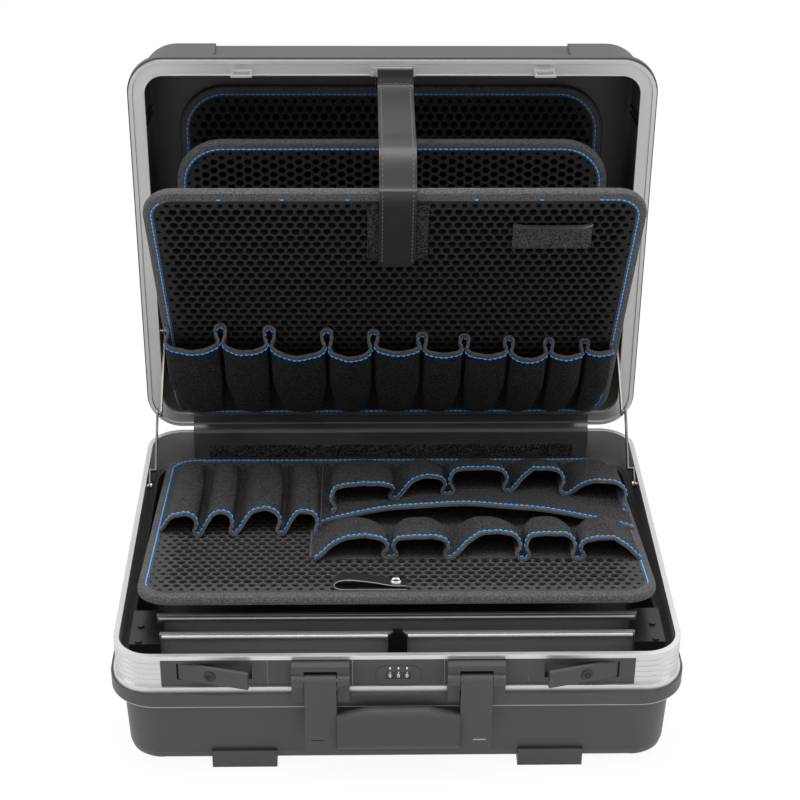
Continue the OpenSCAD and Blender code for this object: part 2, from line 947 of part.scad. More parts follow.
module key_cylinder() {
  difference() {
    key_axis()
      cylinder(r = key_diameter / 2, h = lever_thickness, center = true);
    translate([key_x, 0, lever_z])
      cube([key_slot, lever_thickness, key_slot_width], center = true);
  }
}

module lever_right() {
  color(panel_black)
    lever_turn()
      lever();
}

module lever_left() {
  color(panel_black)
    mirror([1, 0, 0])
      lever_turn()
        lever();
}

module key_cylinder_right() {
  color(steel)
    lever_turn()
      key_cylinder();
}

module key_cylinder_left() {
  color(steel)
    mirror([1, 0, 0])
      lever_turn()
        key_cylinder();
}

module lever_pins() {
  color(steel)
    both()
      case_place()
        translate([lever_pin_x, lever_pin_y, -recess_low - tray_wall / 2])
          cylinder(r = lever_pin, h = recess_height + tray_wall);
}

// ---- handle ----

module handle_axis() {
  case_place()
    translate([0, -handle_out, -handle_drop])
      children();
}

module bracket() {
  leg_top = -bracket_top;
  leg_low = -bracket_top - bracket_height;
  half = bracket_width / 2;
  hang = flange_proud + slack;
  difference() {
    union() {
      case_place()
        translate([bracket_x, 0, 0]) {
          for (s = [-half, half - bracket_leg]) {
            block([s, s + bracket_leg], [-bracket_proud, -lip_proud - slack], [leg_low, leg_top]);
            block([s, s + bracket_leg], [-bracket_proud, 0], [-panel_low, leg_top]);
          }
          block([-half, half], [-bracket_proud, 0], [leg_top - bracket_bar, leg_top]);
        }
      handle_axis()
        translate([bracket_x, 0, 0])
          for (s = [-half, half - bracket_leg])
            bar_x(barrel_radius, s, s + bracket_leg);
    }
    handle_axis()
      bar_x(handle_pin, bracket_x - half + pin_seat, bracket_x + half - pin_seat);
    case_place()
      block([0, far], [-hang, far], [-far, -frame_height]);
  }
}

module handle_bracket_right() {
  color(panel_black)
    bracket();
}

module handle_bracket_left() {
  color(panel_black)
    mirror([1, 0, 0])
      bracket();
}

module handle_pins() {
  half = bracket_width / 2;
  color(steel)
    both()
      handle_axis()
        bar_x(handle_pin, bracket_x - half + pin_seat, bracket_x + half - pin_seat);
}

module handle_arm() {
  from = grip_half;
  to = bracket_x + bracket_width / 2 - bracket_leg - slack;
  difference() {
    handle_axis()
      union() {
        bar_x(barrel_radius, from, to);
        block([from, to], [-barrel_radius, arm_thickness - barrel_radius], [-arm_length, 0]);
      }
    handle_axis()
      bar_x(handle_pin + fit, from - 1, to + 1);
  }
}

module handle_arm_right() {
  color(panel_black)
    handle_arm();
}

module handle_arm_left() {
  color(panel_black)
    mirror([1, 0, 0])
      handle_arm();
}

module handle_grip() {
  r = grip_thickness / 2;
  low = r - grip_low;
  end_top = low + grip_height - 2 * r;
  mid_top = end_top + grip_rise;
  color(cloth_black)
    handle_axis()
      translate([0, arm_thickness / 2 - barrel_radius, 0])
        hull() {
          translate([0, 0, low])
            bar_x(r, -grip_half, grip_half);
          translate([0, 0, end_top])
            bar_x(r, -grip_half, grip_half);
          translate([0, 0, mid_top])
            bar_x(r, -grip_half / 2, grip_half / 2);
        }
}

// ---- hinge ----

module hinge_axis() {
  case_place()
    translate([0, hinge_y, hinge_up])
      children();
}

module knuckles(first) {
  for (i = [first:2:knuckle_count - 1])
    translate([knuckle_length * i - hinge_half + slack / 2, 0, 0])
      children();
}

module hinge_leaf_base() {
  web = knuckle_length - slack;
  clear = hinge_up - knuckle_radius - slack;
  color(frame_silver)
    difference() {
      union() {
        case_place()
          block([-hinge_half, hinge_half], [base_depth, base_depth + leaf_thickness], [-leaf_height, clear]);
        case_place()
          knuckles(0)
            block([0, web], [base_depth, hinge_y], [clear - 2, 0]);
        hinge_axis()
          knuckles(0)
            bar_x(knuckle_radius, 0, web);
      }
      hinge_axis()
        bar_x(hinge_pin_radius, -hinge_half - 1, hinge_half + 1);
    }
}

module hinge_leaf_lid() {
  web = knuckle_length - slack;
  start = hinge_y - lid_y + knuckle_radius + slack;
  near = hinge_y - lid_y + hinge_pin_radius;
  color(frame_silver)
    difference() {
      union() {
        lid_place()
          block([-hinge_half, hinge_half], [start, rim_thickness + lid_flange], [-leaf_thickness, 0]);
        lid_place()
          knuckles(1)
            block([0, web], [near, start + hair], [-leaf_thickness, 0]);
        hinge_axis()
          knuckles(1)
            bar_x(knuckle_radius, 0, web);
      }
      hinge_axis()
        bar_x(hinge_pin_radius + fit, -hinge_half - 1, hinge_half + 1);
    }
}

module hinge_pin() {
  color(steel)
    hinge_axis()
      bar_x(hinge_pin_radius, -hinge_half, hinge_half);
}

module hinge_cover() {
  inner = base_depth - frame_wall;
  color(cloth_black)
    case_place()
      block([-cover_half, cover_half], [inner - cover_thickness, inner], [cover_low, -slack]);
}

module velcro_strip() {
  inner = base_depth - frame_wall - cover_thickness;
  color(cloth_black)
    case_place()
      block(
        [-velcro_half, velcro_half], [inner - velcro_thickness, inner],
        [cover_low, cover_low + velcro_height]
      );
}

// ---- inside of the base ----

module divider(half, y) {
  case_place() {
    block([-half, half], [y - divider_thickness / 2, y + divider_thickness / 2], [floor_z, -divider_top]);
    block(
      [-half, half], [y - divider_bead / 2, y + divider_bead / 2],
      [-divider_top - divider_bead_height, -divider_top]
    );
  }
}

module divider_front() {
  color(frame_silver)
    divider(divider_front_half, divider_front_y);
}

module divider_rear() {
  color(frame_silver)
    divider(divider_rear_half, divider_rear_y);
}

module holder() {
  slot = divider_bead / 2 + slack;
  difference() {
    case_place()
      block([holder_x, holder_end], [holder_y, holder_y + holder_depth], [floor_z, -holder_top]);
    case_place() {
      block([0, divider_front_half + slack], [divider_front_y - slot, divider_front_y + slot], [-far, far]);
      block([0, divider_rear_half + slack], [divider_rear_y - slot, divider_rear_y + slot], [-far, far]);
      block(
        [divider_rear_half + holder_wall, holder_end + holder_wall],
        [holder_y + holder_wall, holder_y + holder_depth - holder_wall],
        [-shell_height, -holder_top - holder_wall]
      );
    }
    difference() {
      case_place()
        block([-far, far], [-far, far], [-far, far]);
      base_plan()
        tub(
          wall_width - 2 * shell_wall, wall_depth - 2 * shell_wall, wall_radius - shell_wall,
          1, floor_z, wall_draft, base_round - shell_wall
        );
    }
  }
}

module divider_holder_right() {
  color(panel_black)
    holder();
}

module divider_holder_left() {
  color(panel_black)
    mirror([1, 0, 0])
      holder();
}

module holder_screws() {
  color(steel)
    both()
      case_place()
        for (y = [holder_y + screw_front, divider_rear_y - screw_rear])
          translate([holder_end - screw_side, y, -holder_top])
            cylinder(d = screw_diameter, h = screw_height);
}

module divider_clip() {
  wide = clip_width / 2;
  face = divider_front_y - divider_bead / 2;
  top = clip_thickness - divider_top;
  color(panel_black)
    difference() {
      case_place()
        translate([0, face, top - wide])
          rotate([90, 0, 0])
            linear_extrude(clip_thickness)
              union() {
                circle(wide);
                translate([-wide, wide - clip_height])
                  square([2 * wide, clip_height - wide]);
              }
      case_place()
        block([-far, far], [face, far], [-far, -divider_top]);
    }
  color(panel_black)
    case_place()
      block(
        [-wide / 2, wide / 2], [face - hair, divider_front_y + divider_bead / 2],
        [-divider_top, top - slack]
      );
}

// ---- base board ----

module base_board_place() {
  case_place()
    translate([0, base_pivot_y, -base_board_drop])
      rotate([-base_board_tilt, 0, 0])
        children();
}

// drawn with Y as the distance back from the front edge, on the upper face
module base_board_top() {
  base_board_place()
    translate([0, -base_board_length, half_board])
      children();
}

module base_board() {
  color(foam_black)
    base_board_place() {
      translate([0, -base_board_length / 2, 0])
        slab(base_board_width, base_board_length, base_board_radius, half_board, -half_board);
      bar_x(half_board, base_board_radius - base_board_width / 2, base_board_width / 2 - base_board_radius);
    }
}

module base_board_flap() {
  lap = flap_thickness / 2;
  color(cloth_black)
    case_place()
      translate([-flap_length / 2, base_root_y, -base_flap_drop])
        rotate([base_flap_angle, 0, 0]) {
          block([0, flap_length], [0, base_flap_reach - half_board - slack], [-lap, lap]);
          bar_x(lap, 0, flap_length);
        }
}

// one pocket: width, depth, swell at the closed end and at the mouth
module pocket(w, depth, low, mouth) {
  across(0, w)
    difference() {
      polygon([[0, 0], [0, low], [depth, mouth], [depth, 0]]);
      polygon([[fabric, -1], [fabric, low - fabric], [depth + 1, mouth - fabric], [depth + 1, -1]]);
    }
  for (x = [0, w - fabric])
    across(x, x + fabric)
      polygon([[0, 0], [0, low], [depth, mouth], [depth, 0]]);
}

// sum of the first n values of a list
function sum_of(list, n) = n < 1 ? 0 : list[n - 1] + sum_of(list, n - 1);

// a row of pockets along X that fills the total width, closed at Y = 0 and open at Y = depth
module pocket_row(parts, gap, total, depth, low, mouth) {
  count = len(parts);
  unit = (total - gap * (count - 1)) / sum_of(parts, count);
  for (i = [0:count - 1])
    translate([unit * sum_of(parts, i) + gap * i, 0, 0])
      pocket(unit * parts[i], depth, low, mouth);
  block([0, total], [0, fabric], [0, fabric]);
  for (i = [1:count - 1])
    translate([unit * sum_of(parts, i) + gap * (i - 1), 0, 0])
      block([0, gap], [0, depth], [0, fabric]);
}

module base_row(start, parts, gap, total, mouth, depth) {
  base_board_top()
    translate([start, mouth + depth, 0])
      mirror([0, 1, 0])
        pocket_row(parts, gap, total, depth, pocket_swell_low, base_pocket_swell);
}

module base_pockets_left() {
  depth = base_board_length - pocket_rear - left_mouth;
  color(cloth_black)
    base_row(left_start, left_widths, left_gap, left_row_width, left_mouth, depth);
}

module base_pockets_rear() {
  depth = base_board_length - pocket_rear - rear_mouth;
  color(cloth_black)
    base_row(block_start + rear_start, rear_widths, rear_gap, rear_row_width, rear_mouth, depth);
}

// the front row, its backing cloth and the cover flap behind it are sewn as one
module base_pockets_front() {
  reach = rear_mouth - slack;
  row_back = row_mouth + row_depth;
  color(cloth_black)
    union() {
      base_row(block_start, row_widths, row_gap, front_row_width, row_mouth, row_depth);
      base_board_top() {
        translate([block_start, 0, 0]) {
          across(0, block_width)
            polygon([
              [reach, 0], [reach, fabric], [flap_mouth, flap_swell],
              [flap_mouth, flap_swell - fabric], [reach - fabric, 0]
            ]);
          block([0, block_width], [row_back - fabric, reach], [0, fabric]);
        }
      }
    }
}

module pull_tab() {
  color(cloth_black)
    base_board_top()
      translate([-tab_x, tab_y, 0])
        slab(tab_length, tab_width, tab_width / 2 - slack, flap_thickness, 0);
}

module snap_button() {
  color(steel)
    base_board_top()
      translate([tab_length / 2 - tab_x - snap_inset, tab_y, flap_thickness])
        cylinder(d = snap_diameter, h = snap_height);
}

// ---- lid stays ----

module stay_base_place() {
  case_place()
    translate([0, stay_pivot_y, -stay_drop])
      rotate([stay_angle, 0, 0])
        children();
}

module stay_rivets_base() {
  foot = half_width - frame_wall;
  inner = stay_lower_x + stay_step;
  color(steel)
    both()
      case_place()
        translate([0, stay_pivot_y, -stay_drop]) {
          bar_x(rivet_radius, inner - rivet_head / 2, foot);
          bar_x(rivet_head_radius, inner - rivet_head, inner - fit);
        }
}

module stay_lower() {
  near = stay_lower_x + stay_step;
  r = stay_width / 2;
  difference() {
    stay_base_place()
      union() {
        bar_x(r, near, near + stay_thickness);
        block([near, near + stay_thickness], [0, stay_bend], [-r, r]);
        block([stay_lower_x, near + stay_thickness], [stay_bend - stay_thickness, stay_bend], [-r, r]);
        block(
          [stay_lower_x, stay_lower_x + stay_thickness], [stay_bend - stay_thickness, stay_lower],
          [-r, r]
        );
        translate([0, stay_lower, 0])
          bar_x(r, stay_lower_x, stay_lower_x + stay_thickness);
      }
    stay_base_place()
      bar_x(rivet_radius + fit, near - 1, near + 2 * stay_thickness);
  }
}

module stay_lower_right() {
  color(steel)
    stay_lower();
}

module stay_lower_left() {
  color(steel)
    mirror([1, 0, 0])
      stay_lower();
}

module stay_lid_place() {
  case_place()
    translate([0, stay_lid_y, stay_lid_z])
      rotate([stay_upper_angle + 180, 0, 0])
        children();
}

module stay_upper() {
  r = stay_width / 2;
  difference() {
    stay_lid_place()
      union() {
        bar_x(r, stay_upper_x, stay_upper_x + stay_thickness);
        block([stay_upper_x, stay_upper_x + stay_thickness], [0, stay_upper], [-r, r]);
        translate([0, stay_upper, 0])
          bar_x(r, stay_upper_x, stay_upper_x + stay_thickness);
      }
    stay_lid_place()
      bar_x(rivet_radius + fit, stay_upper_x - 1, stay_upper_x + 2 * stay_thickness);
  }
  stay_lid_place()
    translate([0, stay_upper, 0])
      bar_x(rivet_radius, stay_upper_x + stay_thickness - hair, stay_lower_x - slack);
}

module stay_upper_right() {
  color(steel)
    stay_upper();
}

module stay_upper_left() {
  color(steel)
    mirror([1, 0, 0])
      stay_upper();
}

module stay_rivets_lid() {
  foot = lid_body_width / 2 - shell_wall;
  color(steel)
    both()
      case_place()
        translate([0, stay_lid_y, stay_lid_z]) {
          bar_x(rivet_radius, stay_upper_x - rivet_head / 2, foot);
          bar_x(rivet_head_radius, stay_upper_x + stay_thickness + fit, foot);
        }
}

// ---- lid ----

module lid_body() {
  lid_face()
    upright_tub(
      lid_body_width, lid_body_height, lid_body_radius,
      -rim_thickness, -lid_depth, lid_round
    );
}

// proud bands round the four corners of the lid
module lid_pads() {
  low = lid_round + 1 - lid_depth;
  lid_face()
    translate([0, 0, low])
      linear_extrude(-rim_thickness - lid_flange / 2 - low)
        difference() {
          rounded(
            lid_body_width + 2 * lid_pad, lid_body_height + 2 * lid_pad,
            lid_body_radius + lid_pad
          );
          square([2 * lid_pad_x, far], center = true);
          square([far, 2 * lid_pad_y], center = true);
          rounded(
            lid_body_width - shell_wall, lid_body_height - shell_wall,
            lid_body_radius - shell_wall / 2
          );
        }
}

module lid_shell() {
  color(shell_black)
    difference() {
      union() {
        lid_face()
          slab(
            lid_width + 2 * lid_flange_proud, lid_height + 2 * lid_flange_proud,
            frame_radius + lid_flange_proud, -rim_thickness, -rim_thickness - lid_flange
          );
        lid_body();
        lid_pads();
      }
      lid_face()
        upright_tub(
          lid_body_width - 2 * shell_wall, lid_body_height - 2 * shell_wall, lid_body_radius - shell_wall,
          1, shell_wall - lid_depth, lid_round - shell_wall
        );
      lid_place()
        block([-hinge_half - 1, hinge_half + 1], [0, rim_thickness + lid_flange + 1], [-far, 0]);
    }
}

module lid_frame() {
  rim_inset = rim_bead;
  recess_width = rim_width - rim_bead - rim_inner;
  color(frame_silver)
    difference() {
      lid_face()
        ring(lid_width, lid_height, frame_radius, rim_width, 0, -rim_thickness);
      lid_face()
        ring(
          lid_width - 2 * rim_inset, lid_height - 2 * rim_inset, frame_radius - rim_inset,
          recess_width, 1, -rim_recess
        );
    }
}

module badge_plate() {
  top = lid_height - lid_inset;
  color(panel_black)
    lid_place()
      block(
        [-badge_length / 2, badge_length / 2], [badge_depth, badge_depth + badge_width],
        [top, top + badge_thickness]
      );
}

module striker() {
  mid = lid_height - striker_edge;
  half = striker_width / 2;
  lid_place()
    translate([striker_x, 0, mid]) {
      block([-half, half], [rim_recess - striker_plate, rim_recess], [-plate_low, plate_high]);
      difference() {
        block(
          [-half, half], [-striker_reach, rim_recess - striker_plate],
          [-striker_wire / 2, striker_wire / 2]
        );
        block(
          [striker_wire - half, half - striker_wire], [striker_wire - striker_reach, -striker_wire],
          [-far, far]
        );
      }
    }
}

module strikers() {
  color(frame_silver)
    both()
      striker();
}

// the anchor bar and the root of the strap that it holds
module strap_anchor() {
  mid = lid_height - striker_edge;
  top = lid_height - rim_width - slack;
  half = strap_width / 2;
  outer = anchor_face + strap_thickness / 2;
  away = outer - root_length * sin(root_lean);
  down = top - root_length * cos(root_lean);
  color(steel)
    lid_place()
      translate([0, 0, mid]) {
        block([-anchor_half, anchor_half], [-anchor_face, rim_recess], [-plate_low, plate_high]);
        for (x = [-anchor_half, anchor_half - anchor_leg])
          block([x, x + anchor_leg], [-anchor_leg, 0], [-plate_high, 0]);
      }
  color(cloth_black)
    lid_place()
      across(-half, half)
        polygon([
          [slack - anchor_face, mid + plate_high - slack], [-outer, mid + plate_high - slack], [-outer, top],
          [-away, down],
          [strap_thickness * cos(root_lean) - away, down + strap_thickness * sin(root_lean)],
          [slack - anchor_face, top - strap_thickness]
        ]);
}

// ---- boards in the lid ----

module lid_board_back() {
  color(foam_black)
    lid_face()
      translate([0, back_board_low + back_board_height / 2 - lid_height / 2, 0])
        slab(
          lid_board_width, back_board_height, lid_board_radius,
          shell_wall - lid_depth + board_thickness, shell_wall - lid_depth
        );
}

module lid_board_middle() {
  rise = middle_board_height - half_board;
  bead = lid_board_width / 2 - lid_board_radius;
  color(foam_black)
    lid_place()
      translate([0, middle_board_depth, middle_pivot_up])
        rotate([middle_board_lean, 0, 0]) {
          rotate([90, 0, 0])
            translate([0, rise / 2, 0])
              slab(lid_board_width, rise, lid_board_radius, half_board, -half_board);
          bar_x(half_board, -bead, bead);
        }
}

module front_board_place() {
  lid_place()
    translate([0, front_board_y, front_board_up])
      rotate([front_board_lean, 0, 0])
        children();
}

// drawn with Y up the board, on its front face
module front_board_face() {
  front_board_place()
    translate([0, -half_board, -half_board])
      rotate([90, 0, 0])
        children();
}

module tapered(low, top, height, r) {
  rise = height - 2 * r;
  turn = atan((top - low) / 2 / rise);
  xl = low / 2 - r;
  xt = top / 2 - r;
  sx = r * cos(turn);
  sy = r * sin(turn);
  polygon([
    [-xl, 0], [xl, 0], [xl + sx, r - sy], [xt + sx, height - r - sy],
    [xt, height], [-xt, height], [-xt - sx, height - r - sy], [-xl - sx, r - sy]
  ]);
  for (s = [-1, 1]) {
    translate([s * xl, r])
      circle(r);
    translate([s * xt, height - r])
      circle(r);
  }
}

module lid_board_front() {
  rise = front_board_height - half_board;
  bead = front_board_bottom / 2 - front_board_radius;
  color(foam_black)
    front_board_place() {
      rotate([90, 0, 0])
        translate([0, 0, -half_board])
          linear_extrude(board_thickness)
            tapered(front_board_bottom, front_board_top, rise, front_board_radius);
      bar_x(half_board, -bead, bead);
    }
}

module lid_board_flap() {
  lap = flap_thickness / 2;
  color(cloth_black)
    lid_place()
      translate([-flap_length / 2, flap_root_n, flap_root_h])
        rotate([flap_angle, 0, 0]) {
          block([0, flap_length], [0, flap_reach - half_board - slack], [-lap, lap]);
          bar_x(lap, 0, flap_length);
        }
}

module lid_pockets() {
  color(cloth_black)
    front_board_face()
      translate([-lid_row_width / 2, lid_pocket_low, 0])
        pocket_row(
          lid_pocket_widths, lid_pocket_gap, lid_row_width,
          lid_pocket_depth, pocket_swell_low, lid_pocket_swell
        );
}

module label_pocket() {
  color(cloth_black)
    front_board_face()
      translate([label_x, label_low, 0])
        pocket(label_width, label_height, label_swell, label_swell);
}

module velcro_patch() {
  color(cloth_black)
    front_board_face()
      translate([strap_offset, 0, 0])
        block(
          [-patch_width / 2, patch_width / 2], [patch_low, patch_low + patch_height],
          [0, velcro_thickness]
        );
}

module strap_tail() {
  low = front_board_height - strap_tail;
  half = strap_width / 2;
  color(cloth_black)
    front_board_face()
      translate([strap_offset, low, velcro_thickness])
        linear_extrude(strap_thickness)
          union() {
            translate([-half, half])
              square([strap_width, strap_tail - half]);
            translate([0, half])
              circle(half);
          }
}

// ---- drawing ----

base_shell();
base_frame();
feet();
lock_plate_left();
lock_plate_right();
panel_left();
panel_centre();
panel_right();
dial_1();
dial_2();
dial_3();
dial_axle();
lever_left();
lever_right();
lever_pins();
key_cylinder_left();
key_cylinder_right();
handle_bracket_left();
handle_bracket_right();
handle_pins();
handle_arm_left();
handle_arm_right();
handle_grip();
hinge_leaf_base();
hinge_leaf_lid();
hinge_pin();
hinge_cover();
velcro_strip();
divider_front();
divider_rear();
divider_holder_left();
divider_holder_right();
divider_clip();
holder_screws();
base_board_flap();
base_board();
base_pockets_left();
base_pockets_rear();
base_pockets_front();
pull_tab();
snap_button();
stay_rivets_base();
stay_rivets_lid();
stay_lower_left();
stay_lower_right();
stay_upper_left();
stay_upper_right();
lid_shell();
lid_frame();
badge_plate();
strikers();
strap_anchor();
lid_board_back();
lid_board_middle();
lid_board_flap();
lid_board_front();
lid_pockets();
label_pocket();
velcro_patch();
strap_tail();
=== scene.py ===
"""Finishes, boards, pockets and soft parts of a hard tool case, built round its construction."""
import json
import math
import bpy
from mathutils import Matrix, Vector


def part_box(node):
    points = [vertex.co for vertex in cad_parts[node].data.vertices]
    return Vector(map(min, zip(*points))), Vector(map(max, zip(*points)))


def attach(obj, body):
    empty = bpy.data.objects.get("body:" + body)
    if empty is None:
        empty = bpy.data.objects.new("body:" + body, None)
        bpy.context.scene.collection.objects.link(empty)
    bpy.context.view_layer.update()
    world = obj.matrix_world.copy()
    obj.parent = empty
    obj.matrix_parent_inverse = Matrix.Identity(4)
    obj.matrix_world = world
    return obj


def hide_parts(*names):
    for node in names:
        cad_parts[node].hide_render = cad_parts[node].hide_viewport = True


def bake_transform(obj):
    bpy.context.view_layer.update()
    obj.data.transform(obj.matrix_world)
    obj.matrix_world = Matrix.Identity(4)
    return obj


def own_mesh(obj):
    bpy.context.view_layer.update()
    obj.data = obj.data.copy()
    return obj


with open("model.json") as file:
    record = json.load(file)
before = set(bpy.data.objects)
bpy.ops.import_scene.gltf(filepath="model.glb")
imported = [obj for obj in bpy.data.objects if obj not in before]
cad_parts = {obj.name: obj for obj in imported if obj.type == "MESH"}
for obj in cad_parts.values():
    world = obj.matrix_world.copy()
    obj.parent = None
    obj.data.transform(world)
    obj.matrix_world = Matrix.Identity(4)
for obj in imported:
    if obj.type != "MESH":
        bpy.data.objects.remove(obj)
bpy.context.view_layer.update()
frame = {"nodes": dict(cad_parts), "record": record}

from types import SimpleNamespace

import bmesh
import bpy
import numpy as np
from mathutils import Matrix, Vector

bl_info = {
    "name": "Hard tool case",
    "version": (1, 0, 0),
    "blender": (4, 5, 0),
    "location": "3D View > Sidebar > Tool case",
    "description": "Dresses a hard tool case: boards, pockets, strap, lock details and finishes",
    "category": "Object",
}

MM = 0.001
JOINTS = {j["name"]: np.array(j["pos_m"]) / MM for j in frame["record"]["behaviour"]["joints"]}
SEED = 7
ACROSS = np.array((1.0, 0.0, 0.0))


# ---- sizes and colours that a user would change ----


def length(name, description, default):
    """A length property, given in millimetres and kept in metres as Blender keeps every length."""
    return bpy.props.FloatProperty(
        name=name,
        description=description,
        default=default * MM,
        min=0.0,
        precision=4,
        subtype="DISTANCE",
        unit="LENGTH",
    )


def paint(name, description, default):
    """A colour as a six-figure sRGB hex value."""
    return bpy.props.StringProperty(name=name, description=description, default=default)


class CaseSizes(bpy.types.PropertyGroup):
    """Sizes of the visible detail."""

    hole_pitch: length("Hole pitch", "Distance between neighbouring holes of a board", 9.35)
    hole_size: length("Hole diameter", "Diameter of a hole in the middle of a board", 7.3)
    hole_depth: length("Hole depth", "Depth of a hole", 4.6)
    tape_width: length("Binding width", "Width of the tape round a board", 9.4)
    tape_proud: length("Binding height", "How far the tape stands above the felt", 0.9)
    stitch_pitch: length("Stitch pitch", "Distance from one stitch to the next", 4.9)
    stitch_length: length("Stitch length", "Length of one visible stitch", 4.1)
    thread: length("Thread", "Diameter of the sewing thread", 1.05)
    cloth: length("Cloth", "Thickness of the pocket cloth", 1.2)
    hem: length("Hem", "Width of the tape along a pocket mouth", 4.6)
    strap_width: length("Strap width", "Width of the lid strap", 33.0)
    strap_thickness: length("Strap thickness", "Thickness of the lid strap", 2.2)


class CaseColours(bpy.types.PropertyGroup):
    """Colours of the finishes, as sRGB hex values."""

    shell: paint("Shell", "Moulded shell", "333333")
    trim: paint("Trim", "Lock plates, brackets and handle arms", "323232")
    aluminium: paint("Aluminium", "Anodised frame profiles", "d2d2d2")
    felt: paint("Felt", "Felt of the base board", "3a3a3b")
    # The lid felt is the base felt darkened as painted shade, for the upright boards inside the lid.
    lid_felt: paint("Lid felt", "Felt of the upright boards, whose nap lies away from the light", "232324")
    cloth: paint("Cloth", "Cloth of the base pockets", "2a2a2b")
    # The lid cloth is the base cloth darkened as painted shade, for the upright pockets.
    lid_cloth: paint("Lid cloth", "Cloth of the upright pockets", "171718")
    tape: paint("Binding", "Tape bound round the boards", "464546")
    hem: paint("Hem", "Tape along the pocket mouths", "484543")
    thread: paint("Thread", "Sewing thread", "1a9bff")
    leather: paint("Leatherette", "Strap and pull tab", "1c1c1e")
    hook: paint("Hook tape", "Hook-and-loop tape", "0e0e0f")


def sizes():
    """The detail's sizes in millimetres."""
    group = bpy.context.scene.case_sizes
    return SimpleNamespace(**{k: round(getattr(group, k) / MM, 4) for k in CaseSizes.__annotations__})


def colours():
    """The finishes' colours."""
    return bpy.context.scene.case_colours


# ---- places ----


def place(origin, along, out):
    """Gives a function that turns millimetres across, along and out of a face into metres in the row frame.

    A point is the origin plus each of the three times its direction.
    """
    basis = np.array([ACROSS, along, out])

    def at(points):
        return (np.asarray(origin) + np.asarray(points) @ basis) * MM

    return at


HALF_BOARD = 3.5
BASE_LENGTH = 326.0
BASE_WIDTH = 452.0
BASE_RADIUS = 30.0
BASE_TILT = math.radians(9.4)
FRONT_LEAN = math.radians(21.5)
FRONT_HEIGHT = 307.0
FRONT_LOW = 426.0
FRONT_HIGH = 448.0
FRONT_RADIUS = 28.0
MIDDLE_LEAN = math.radians(9.5)
MIDDLE_HEIGHT = 297.5
LID_BOARD_WIDTH = 412.0
LID_BOARD_RADIUS = 45.0
FLANGE_RADIUS = 42.0
FLANGE_LOW = 74.0


def lid_board_place(pivot, lean):
    """Place on the front face of a lid board that leans by an angle on its lower pivot."""
    along = np.array((0.0, -math.sin(lean), math.cos(lean)))
    out = np.array((0.0, -math.cos(lean), -math.sin(lean)))
    return place(pivot - HALF_BOARD * along + HALF_BOARD * out, along, out)


def base_board_place():
    """Place on the upper face of the base board, measured back from its front edge."""
    along = np.array((0.0, math.cos(BASE_TILT), -math.sin(BASE_TILT)))
    out = np.array((0.0, math.sin(BASE_TILT), math.cos(BASE_TILT)))
    return place(JOINTS["board_lift"] * (0, 1, 1) - BASE_LENGTH * along + HALF_BOARD * out, along, out)


def corner(node, which):
    """A corner of a node's box, in millimetres: 0 the lowest, 1 the highest."""
    return np.array(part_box(node)[which]) / MM


ON_BASE = base_board_place()
ON_FRONT = lid_board_place(JOINTS["front_board_hinge"] * (0, 1, 1), FRONT_LEAN)
ON_MIDDLE = lid_board_place(JOINTS["middle_board_hinge"] * (0, 1, 1), MIDDLE_LEAN)
BACK_LOW, BACK_HIGH = corner("lid_board_back", 0), corner("lid_board_back", 1)
ON_BACK = lid_board_place(np.array((0, BACK_LOW[1] + HALF_BOARD, BACK_LOW[2] + HALF_BOARD)), 0.0)
LID_FACE = corner("lid_frame", 0)[1]
LID_FOOT = corner("lid_frame", 0)[2]
RIM_TOP = corner("base_frame", 1)[2]


def row_frame(points):
    """Millimetres in the row frame as metres."""
    return np.asarray(points, float) * MM


# ---- meshes ----


def grid_faces(rows, cols, wrap_rows=False, wrap_cols=False):
    """Quads of a grid of rows by cols points, numbered row by row, closed round where asked."""
    r = np.arange(rows if wrap_rows else rows - 1)
    c = np.arange(cols if wrap_cols else cols - 1)
    r, c = (a.ravel() for a in np.meshgrid(r, c, indexing="ij"))
    r1, c1 = (r + 1) % rows, (c + 1) % cols
    return np.stack([r * cols + c, r * cols + c1, r1 * cols + c1, r1 * cols + c], axis=1)


SHARP_FROM = math.radians(40.0)


def piece(name, points, faces, material, body, stands_for=(), foam_and_shade=None):
    """Makes one mesh piece from points in metres and arrays of faces, and lets it ride on a body, if any.

    The pit attribute is how deep in a hole each point lies, from 0 to 1.
    """
    mesh = bpy.data.meshes.new(name)
    loops = np.concatenate([f.ravel() for f in faces])
    counts = np.concatenate([np.full(len(f), f.shape[1]) for f in faces])
    mesh.vertices.add(len(points))
    mesh.vertices.foreach_set("co", np.asarray(points, np.float32).ravel())
    mesh.loops.add(len(loops))
    mesh.loops.foreach_set("vertex_index", loops.astype(np.int32))
    mesh.polygons.add(len(counts))
    mesh.polygons.foreach_set("loop_start", (np.cumsum(counts) - counts).astype(np.int32))
    mesh.update(calc_edges=True)
    mesh.validate()
    if foam_and_shade is not None:
        deep = mesh.attributes.new("foam_and_shade", "FLOAT", "POINT")
        deep.data.foreach_set("value", np.asarray(foam_and_shade, np.float32))
    work = bmesh.new()
    work.from_mesh(mesh)
    bmesh.ops.recalc_face_normals(work, faces=work.faces)
    work.to_mesh(mesh)
    work.free()
    mesh.shade_smooth()
    mesh.set_sharp_from_angle(angle=SHARP_FROM)
    mesh.materials.append(material)
    made = bpy.data.objects.new(name, mesh)
    bpy.context.scene.collection.objects.link(made)
    if body:
        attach(made, body)
    if stands_for:
        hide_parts(*stands_for)
    return made


def welded(points, faces):
    """Merges points that coincide to a micrometre."""
    _, first, where = np.unique(np.round(points / 1e-3), axis=0, return_index=True, return_inverse=True)
    where = where.ravel()
    return points[first], [where[f] for f in faces]


def unit(v):
    """Vectors at length 1."""
    return v / np.maximum(np.linalg.norm(v, axis=-1, keepdims=True), 1e-9)


def outward_normals(grid):
    """Cross product of the steps across and along a grid, as unit vectors on the side that faces up."""
    normals = unit(np.cross(np.gradient(grid, axis=1), np.gradient(grid, axis=0)))
    return normals if normals[..., 2].sum() > 0 else -normals


